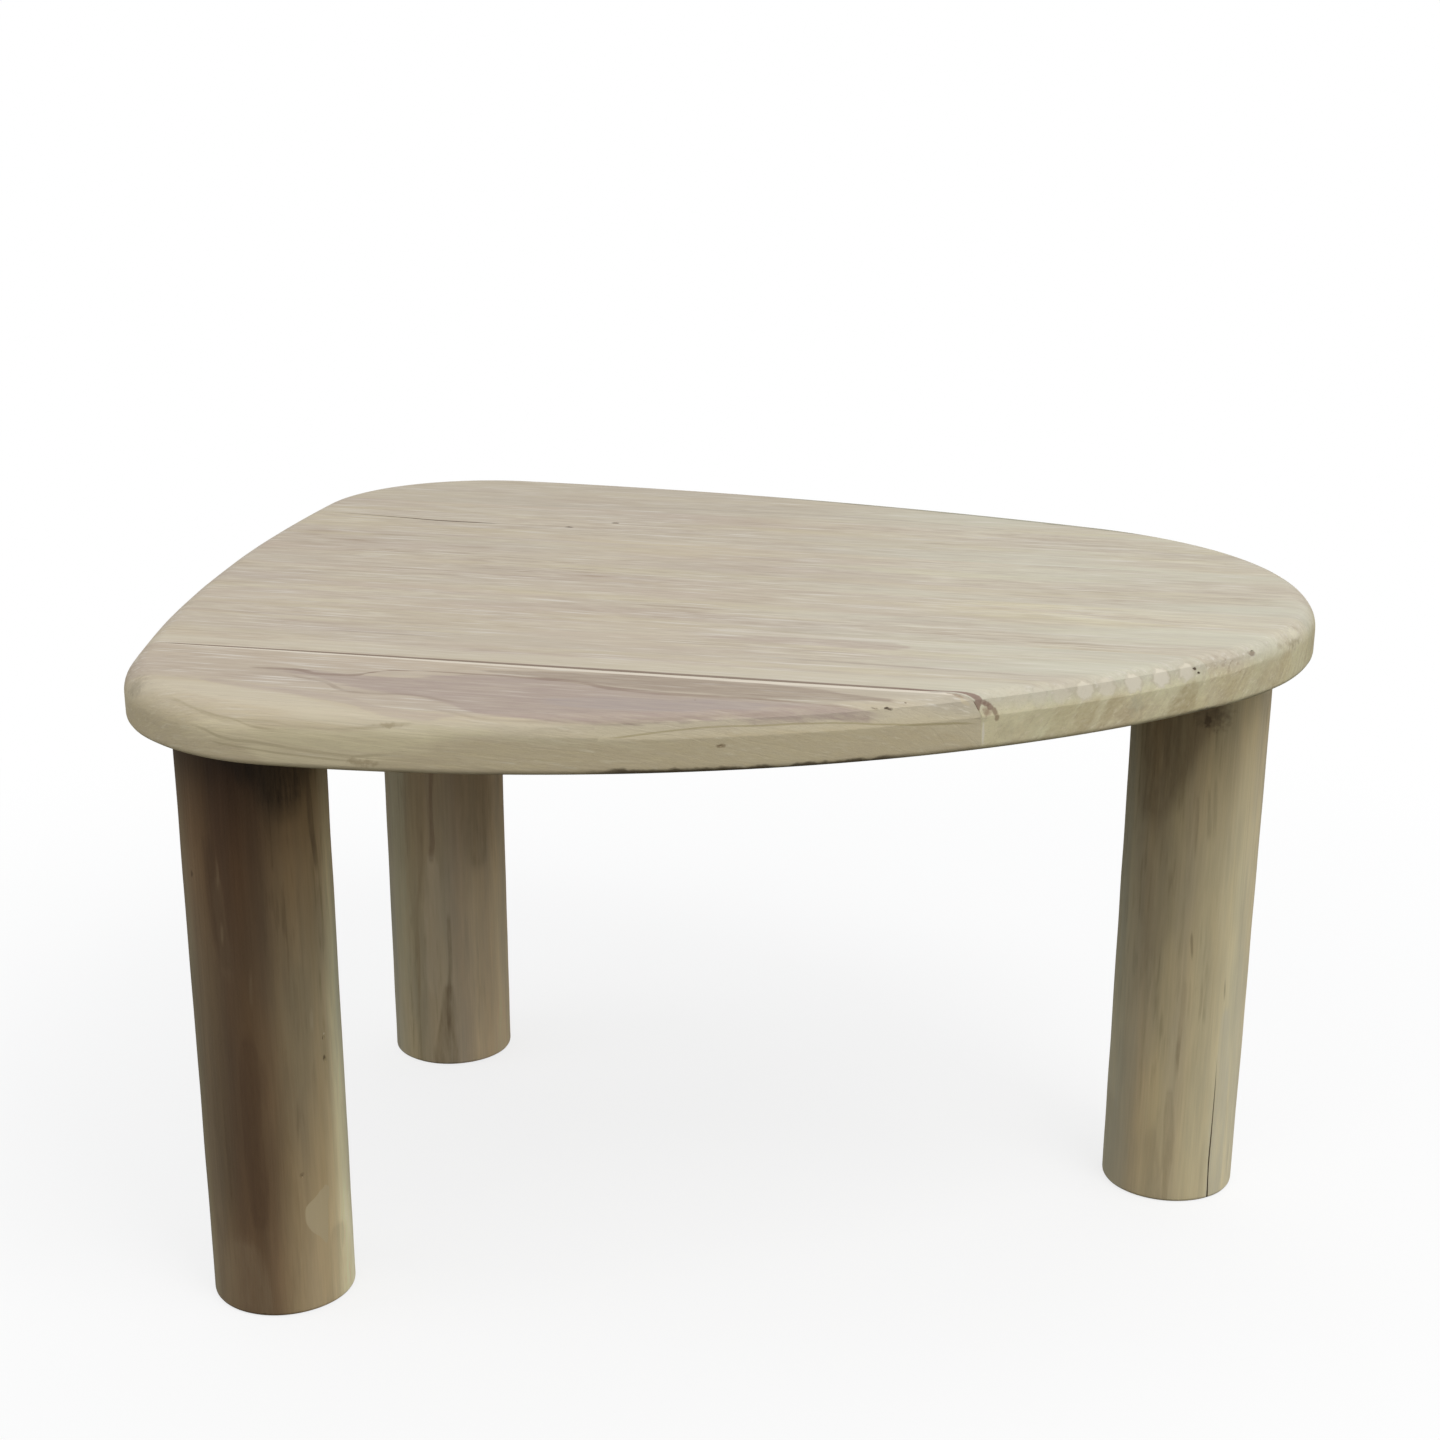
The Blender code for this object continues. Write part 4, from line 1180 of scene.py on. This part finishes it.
legTop = 0.42                                       # just above the legs' heads
legLooks = {
    # facing: the side that the photo shows, in degrees from X, counter-clockwise from above;
    # stops: angle round the leg from that side, and colour: the wood's own colours with painted light and
    # shade, lighter on the lit right and with a painted highlight on the right edge; heights: millimetres,
    # and how light
    # it is there: painted shade, darker under the top and lighter towards the foot
    "front_left": {
        "facing": -66, "seed": (0.3, 1.7, 0.9), "drift": 0.02,
        "colourAndLightStops": [(-180, (140, 124, 98)), (-75, (135, 124, 102)), (-62, (127, 111, 89)),
            (-45, (117, 98, 74)), (-32, (102, 81, 60)), (-15, (99, 78, 56)), (-2, (117, 96, 72)),
            (10, (145, 126, 97)), (25, (172, 152, 119)), (38, (188, 168, 132)), (48, (206, 189, 153)),
            (58, (240, 230, 192)), (66, (253, 244, 206)), (75, (250, 240, 204)), (180, (140, 124, 98))],
        "paintedShadeByHeight": [(0, 1.42), (30, 1.4), (60, 1.22), (110, 1), (200, 1), (300, 1.02), (335, 0.85),
            (365, 0.6), (385, 0.36), (420, 0.2)],
        "lines": [
            # painted shadow that the top casts on the leg's head
            ((40, 30, 22), 0.7, 16, [(418, 12, 30), (395, 13, 28), (380, 16, 18), (366, 18, 9),
                (350, 19, 3), (338, 20, 0)]),
            ((150, 132, 104), 0.32, 12, [(0, -30, 17), (22, -30, 15), (44, -30, 8), (72, -30, 0)]),
            ((176, 158, 124), 0.3, 8, [(0, 42, 14), (25, 42, 13), (50, 42, 6), (64, 42, 0)]),
            ((92, 72, 52), 0.5, 2, [(380, 37.5, 0), (365, 38, 1), (350, 38.5, 1.4), (332, 39.3, 1),
                (314, 41, 0.3), (300, 42, 0)]),
            ((80, 60, 42), 0.5, 4, [(350, -30, 0), (320, -31, 2), (290, -30, 3), (262, -26, 2),
                (240, -22, 0)]),
            ((126, 106, 80), 0.3, 4, [(320, -27, 0), (295, -26, 2), (262, -25, 2), (235, -24, 0)]),
            ((84, 62, 44), 0.5, 5, [(215, -14, 0), (180, -13, 4), (140, -14, 5), (90, -14, 4),
                (50, -13, 0)]),
            ((150, 136, 106), 0.35, 6, [(260, 20, 0), (225, 20, 5), (180, 19, 4), (140, 19, 0)]),
            ((150, 130, 100), 0.3, 1.3, [(330, -25.4, 0), (315, -25.8, 0.4), (298, -26.4, 0),
                (284, -25.6, 0), (274, -25.8, 0.4), (262, -26, 0)]),
            ((150, 130, 100), 0.25, 1.3, [(255, -8.8, 0), (236, -9.2, 0.4), (218, -9.4, 0)]),
            # a short pale dash: a painted glint
            ((196, 182, 150), 0.45, 1.3, [(221, 29.9, 0), (210, 29.6, 0.4), (198, 29.3, 0)]),
            ((206, 190, 154), 0.7, 0.8, [(47, 30, 0), (48.6, 30, 1), (52, 29.2, 2), (62.4, 25.1, 6.9),
                (70.6, 24.5, 8.3), (78, 25, 8.3), (84, 29.2, 5.2), (88, 31.8, 3.4), (90, 32, 0)]),
        ],
        "spots": [
            ((66, 50, 34), 0.5, 0.3, 0.5, (-296, -246.4, 309), (2, 2, 3.2)),
            ((100, 82, 60), 0.4, 0.3, 0.5, (-236.3, -242.8, 103.4), (2.2, 2.2, 1.8)),
            ((96, 80, 58), 0.8, 0.4, 0.5, (-223.7, -224.3, 179.8), (1.6, 1.6, 2.2)),
            ((104, 88, 64), 0.7, 0.4, 0.5, (-224.2, -224.3, 194), (1.4, 1.4, 1.6)),
            # a painted glint on the pit's edge
            ((222, 210, 180), 0.8, 0.4, 0.5, (-223.2, -223.4, 196.6), (1.2, 1.2, 1)),
        ],
    },
    "back_left": {
        "facing": -70.6, "seed": (4.1, 0.4, 2.2), "upperTint": (0.12, 0.3, (1.05, 0.95, 0.86)),
        "colourAndLightStops": [(-180, (188, 172, 140)), (-66, (160, 152, 130)), (-50, (164, 152, 125)),
            (-35, (161, 147, 118)), (-20, (175, 159, 131)), (-5, (190, 174, 145)), (10, (200, 180, 151)),
            (25, (214, 194, 162)), (40, (218, 196, 163)), (55, (232, 211, 175)), (68, (222, 202, 168)),
            (180, (188, 172, 140))],
        "paintedShadeByHeight": [(0, 1.3), (30, 1.25), (100, 1.12), (150, 1), (200, 0.8), (260, 0.65), (420, 0.55)],
        "lines": [
            ((112, 88, 66), 0.55, 2, [(300, -9, 2), (252, -10, 0.8), (218, -12.2, 0.7), (195, -11.9, 1),
                (182, -13.2, 0.6), (174, -13.4, 0)]),
            ((140, 122, 92), 0.5, 2.2, [(300, -18, 2), (220, -21, 2.2), (171, -22.1, 1.5),
                (135, -26.7, 0.8), (91, -28.3, 0.6), (30, -29, 0.2)]),
            ((138, 122, 96), 0.4, 9, [(300, 24, 9), (247, 24, 10), (214, 27, 9), (184, 26, 6),
                (155, 25, 0)]),
            ((122, 104, 80), 0.45, 2, [(140, -0.6, 0), (118, -0.8, 0.6), (100, -0.9, 0.8), (74, -2.4, 0.6),
                (50, -3.6, 0.5), (15, -4, 0)]),
            ((124, 102, 74), 0.45, 4, [(78, -3, 0), (62, -3, 2), (46, -4, 4), (30, -6, 6), (9, -7, 8),
                (-2, -7, 8)]),
            ((200, 184, 156), 0.35, 4, [(190, -13, 0), (165, -14, 4), (129, -14.5, 5), (92, -15, 5),
                (55, -16, 0)]),
            ((160, 158, 132), 0.3, 6, [(300, -46, 8), (221, -46, 8), (160, -44, 6), (100, -44, 4),
                (40, -45, 0)]),
        ],
    },
    "right": {
        "facing": -89, "seed": (2.6, 3.9, 0.1), "upperTint": (0.24, 0.38, (1.03, 0.965, 0.89)),
        "colourAndLightStops": [(-180, (200, 186, 154)), (-80, (206, 199, 173)), (-60, (198, 188, 160)),
            (-35, (184, 167, 135)), (-15, (187, 172, 137)), (0, (193, 177, 143)), (15, (199, 185, 149)),
            (30, (206, 192, 156)), (50, (220, 209, 175)), (68, (222, 211, 180)), (180, (200, 186, 154))],
        "paintedShadeByHeight": [(0, 1.22), (30, 1.22), (110, 1.18), (180, 1.02), (300, 0.88), (340, 0.82), (370, 0.75),
            (420, 0.45)],
        "lines": [
            ((214, 207, 184), 0.5, 4, [(155, 40, 0), (141, 38.5, 2), (62, 40, 5), (0, 39.5, 5)]),
            # painted shadow of the rim on the leg's head, over brown wood
            ((90, 68, 42), 0.46, 14, [(418, -16, 30), (390, -16, 27), (362, -19, 22), (335, -24, 15),
                (305, -29, 8), (265, -33, 0)]),
            ((150, 136, 110), 0.35, 7, [(335, -26, 0), (313, -25, 3), (285, -20, 4), (252, -14, 4),
                (217, -15, 4), (195, -19, 2), (165, -22, 0)]),
            ((150, 136, 112), 0.3, 6, [(290, -36, 0), (267, -35.6, 3), (233, -31, 4), (205, -26, 3),
                (175, -24, 0)]),
            ((186, 174, 148), 0.3, 10, [(0, -54, 14), (30, -54, 12), (60, -54, 6), (84, -54, 0)]),
            ((168, 150, 120), 0.4, 5, [(70, -13, 0), (42, -12.9, 3), (10, -9.5, 4), (0, -9, 4)]),
            ((124, 108, 82), 0.5, 1, [(216, 4.8, 0), (205, 5.6, 0.4), (197, 6.4, 0.3), (188, 7, 0)]),
            ((134, 118, 92), 0.45, 0.9, [(178, 34.7, 0), (165, 35, 0.3), (153, 35.4, 0)]),
            ((136, 120, 92), 0.4, 1.3, [(137, 1.2, 0), (120, 1.8, 0.4), (101, 2.4, 0)]),
            ((146, 130, 102), 0.35, 1.4, [(186, 15.5, 0), (160, 15.8, 0.4), (132, 13.9, 0)]),
            ((134, 118, 92), 0.35, 1.3, [(318, 2, 0), (304, 2.8, 0.4), (276, 3.4, 0.3), (262, 4, 0)]),
            ((134, 118, 92), 0.35, 1.3, [(326, 9, 0), (308, 10.5, 0.4), (290, 11.8, 0.4), (276, 12.2, 0)]),
            ((134, 118, 92), 0.3, 1.3, [(332, 14, 0), (318, 14.4, 0.3), (290, 15.8, 0.3), (272, 16.2, 0)]),
            ((84, 68, 48), 0.85, 0.35, [(-2, 34.2, 0.3), (30, 32.6, 0.3), (57, 33, 0.28), (89, 33, 0.2),
                (110, 32.7, 0.06), (130, 32.4, 0)]),
            ((150, 134, 104), 0.4, 2.4, [(95, -2, 0), (70, -1, 2), (40, 0, 2.5), (10, 0, 1)]),
            ((136, 120, 94), 0.25, 2, [(185, 2, 0), (160, 3, 0.6), (120, 2, 0.6), (90, 1, 0)]),
        ],
        "spots": [
            ((88, 70, 50), 0.7, 0.3, 0.7, (317, 45.2, 366), (3, 3, 7)),
            ((86, 70, 50), 0.65, 0, 0.5, (322, 46, 370), (19, 9, 17)),
        ],
    },
}
legBase = {
    "waver": 0.006, "quick": 0.003, "fine": 0.0006, "markWaver": 0.25,
    "drift": 0.0, "driftMiddle": 0.15,              # how far streaks lean, and the height where they don't
    "fibreShade": 0.38, "shadeShares": {"Fibre": 0.3, "Streaks": 0.35, "Patches": 0.35},
    "upperTint": (0.22, 0.38, (1.04, 0.88, 0.76)),      # browner towards the top: from, to and tint
    "fleckShare": 0.45, "fleckTint": (0.45, 0.42, 0.36),
    "clusters": {"scale": (4.0, 40.0, 40.0), "detail": 1.0, "low": 0.45, "high": 0.7},
    "patchTints": ((1.05, 1.02, 0.95), (0.93, 0.96, 1.0)),
    "lines": [], "spots": [],
    "lightest": 1.5,                                # end of the scale for the heights above, the painted shade by height
    "rough": (0.6, 0.8), "shine": 0.3, "bump": 0.3,
}


def legMaterial(name):
    look = {**legBase, **legLooks[name]}
    material, net, shader = newMaterial(name + "_leg_finish")
    low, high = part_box(name + "_leg")
    middle, radius = (low + high) / 2, (high.x - low.x) / 2
    place = net.add("TexCoord").outputs["Object"]

    # turned so that X points to the side that the photo shows, then laid with the grain along X
    turn = net.add("Mapping", place, (-middle.x, -middle.y, 0), (0, 0, 0), (1, 1, 1))
    turn = net.add("Mapping", turn.outputs[0], (0, 0, 0), (0, 0, math.radians(-look["facing"])), (1, 1, 1))
    x, y, z = net.xyz(turn.outputs[0])
    leaning = net.add("CombineXYZ", z, y, x).outputs[0]
    shift = net.group(waver, Place=leaning, Seed=look["seed"], Slow=look["waver"], Quick=look["quick"],
                      Fine=look["fine"])["Shift"]
    girth = net.times(net.math("ARCTAN2", y, x), radius)
    steady = net.plus(girth, net.times(shift, look["markWaver"]))
    leant = net.times(net.plus(z, -look["driftMiddle"]), look["drift"])
    drifted = net.math("SUBTRACT", net.plus(girth, shift), leant)
    grain = net.group(fibres, Place=leaning, Seed=look["seed"])

    # colours round the leg and up it: the wood's own colours, with painted light and shade
    ramp = net.add("ValToRGB", net.span(drifted, -math.pi * radius, math.pi * radius))
    points = ramp.color_ramp.elements
    colourAndLightStops = look["colourAndLightStops"]
    while len(points) < len(colourAndLightStops):
        points.new(0.5)
    for point, (degrees, colour) in zip(points, colourAndLightStops):
        point.position, point.color = (degrees + 180) / 360, hue(*colour)
    # painted shade: darker under the top, lighter towards the foot
    level = net.curve(z, [(a / 1000, b) for a, b in look["paintedShadeByHeight"]], 0.0, legTop, 0.0, look["lightest"])
    colour = net.shaded(ramp.outputs[0], level)
    shade = 0.0
    for key, share in look["shadeShares"].items():
        shade = net.plus(shade, net.times(grain[key], share))
    half = look["fibreShade"] / 2
    colour = net.shaded(colour, net.span(shade, 0.0, 1.0, 1 + half, 1 - half))
    clusters = net.noise(leaning, shift=look["seed"], **look["clusters"])
    flecks = net.times(net.times(grain["Flecks"], clusters), look["fleckShare"])
    colour = net.mix(flecks, colour, net.tinted(colour, look["fleckTint"]))
    colour = net.tinted(colour, net.mix(grain["Patches"], *look["patchTints"]))
    start, end, upperTint = look["upperTint"]
    colour = net.tinted(colour, net.mix(net.span(z, start, end, smooth=True), (1, 1, 1), upperTint))

    colour = drawLines(net, colour, z, steady, grain, look["lines"], 0.0, legTop)
    colour = drawSpots(net, colour, place, look["spots"])
    finishWood(net, shader, look, colour, grain["Fibre"], grain["Fibre"])
    return material


for name, leg in legs.items():
    wear(leg, legMaterial(name))
print("wood materials made")

fittingLooks = {
    # two tones, how metallic, least and most roughness, and the scale of the streaks
    "dowel": {"tones": ((206, 180, 138), (180, 148, 104)), "metal": 0.0, "rough": (0.55, 0.7),
              "streaks": (700, 22, 700)},
    "hanger_bolt": {"tones": ((208, 212, 214), (168, 174, 180)), "metal": 1.0, "rough": (0.28, 0.45),
                    "streaks": (300, 300, 60)},
    "insert": {"tones": ((214, 194, 132), (182, 156, 92)), "metal": 1.0, "rough": (0.3, 0.48),
               "streaks": (300, 300, 120)},
}


def fittingMaterial(kind):
    look = fittingLooks[kind]
    material, net, shader = newMaterial(kind + "_finish")
    place = net.add("TexCoord").outputs["Object"]
    streak = net.noise(place, look["streaks"], detail=3.0)
    net.feed(shader.inputs["Base Color"], net.mix(streak, *[hue(*tone) for tone in look["tones"]]))
    net.feed(shader.inputs["Roughness"], net.span(streak, 0.0, 1.0, *look["rough"]))
    shader.inputs["Metallic"].default_value = look["metal"]
    return material


fittings = {kind: fittingMaterial(kind) for kind in fittingLooks}
for name, node in frame["nodes"].items():
    for kind, material in fittings.items():
        if kind in name:
            wear(node, material)
print("fitting materials made")

# what each new piece stands for

for name, board in boards.items():
    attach(board, "root")
    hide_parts(name)
for name, leg in legs.items():
    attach(leg, "root")
    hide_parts(name + "_leg")

# floor, world and lamps

white = (1, 1, 1)
room = {
    "floorSize": 40,
    "floorBounce": (0.13, 0.125, 0.10),             # its colour as it lights the table from below
    "shadowDepth": 0.22,                            # how much of the table's shadow shows on the white
    "shadowReach": 0.6, "shadowEnd": 1.32,          # how far from the middle it is full, and gone
    "sky": (0.95, 0.97, 1.0), "skyStrength": 0.60,
    "lampAim": (0, 0, 0.3),
    "lamps": [                                      # name, place, size, watts, colour
        ("softboxRight", (1.6, -1.4, 3.1), 1.5, 40, (1.0, 0.99, 0.97)),
        ("softboxLeft", (-2.6, -1.0, 2.5), 1.5, 10, (1.0, 0.99, 0.97)),
        ("softboxSide", (3.0, -0.3, 1.8), 1.4, 9, (1.0, 0.98, 0.94)),
        ("softboxAbove", (0.2, 0.8, 3.3), 2.0, 8, (1.0, 1.0, 1.0)),
        ("softboxLow", (-1.5, -2.7, 0.8), 1.4, 8, (1.0, 1.0, 1.0)),
    ],
}


def makeFloor():
    bpy.ops.mesh.primitive_plane_add(size=room["floorSize"], location=(0, 0, 0))
    floor = newest("floor")
    material = bpy.data.materials.new("paleFloor")
    material.use_nodes = True
    net = Net(material.node_tree)
    material.node_tree.nodes.clear()
    bright = net.add("Emission", white, 1.0).outputs[0]
    pale = net.add("BsdfDiffuse", white).outputs[0]
    grey = net.add("BsdfDiffuse", room["floorBounce"]).outputs[0]
    away = net.vector("LENGTH", net.add("TexCoord").outputs["Object"], outlet="Value")
    depth = net.span(away, room["shadowReach"], room["shadowEnd"], room["shadowDepth"], 0.0, smooth=True)
    seen = net.add("MixShader", depth, bright, pale).outputs[0]
    ray = net.add("LightPath").outputs["Is Camera Ray"]
    net.add("OutputMaterial", net.add("MixShader", ray, grey, seen).outputs[0])
    floor.data.materials.append(material)
    return floor


def makeWorld():
    world = bpy.data.worlds.new("plainRoom")
    scene.world = world
    world.use_nodes = True
    net = Net(world.node_tree)
    world.node_tree.nodes.clear()
    sky = net.add("Background", room["sky"], room["skyStrength"]).outputs[0]
    seen = net.add("Background", white, 1.0).outputs[0]
    ray = net.add("LightPath").outputs["Is Camera Ray"]
    net.add("OutputWorld", net.add("MixShader", ray, sky, seen).outputs[0])


def makeLamps():
    for name, place, size, power, colour in room["lamps"]:
        data = bpy.data.lights.new(name, "AREA")
        data.energy, data.color, data.size = power, colour, size
        lamp = bpy.data.objects.new(name, data)
        scene.collection.objects.link(lamp)
        lamp.location = place
        lamp.rotation_euler = (Vector(room["lampAim"]) - Vector(place)).to_track_quat("-Z", "Y").to_euler()


makeFloor()
makeWorld()
makeLamps()
scene.view_settings.view_transform = "Standard"
print("floor, world and lamps in place")

bpy.context.view_layer.update()
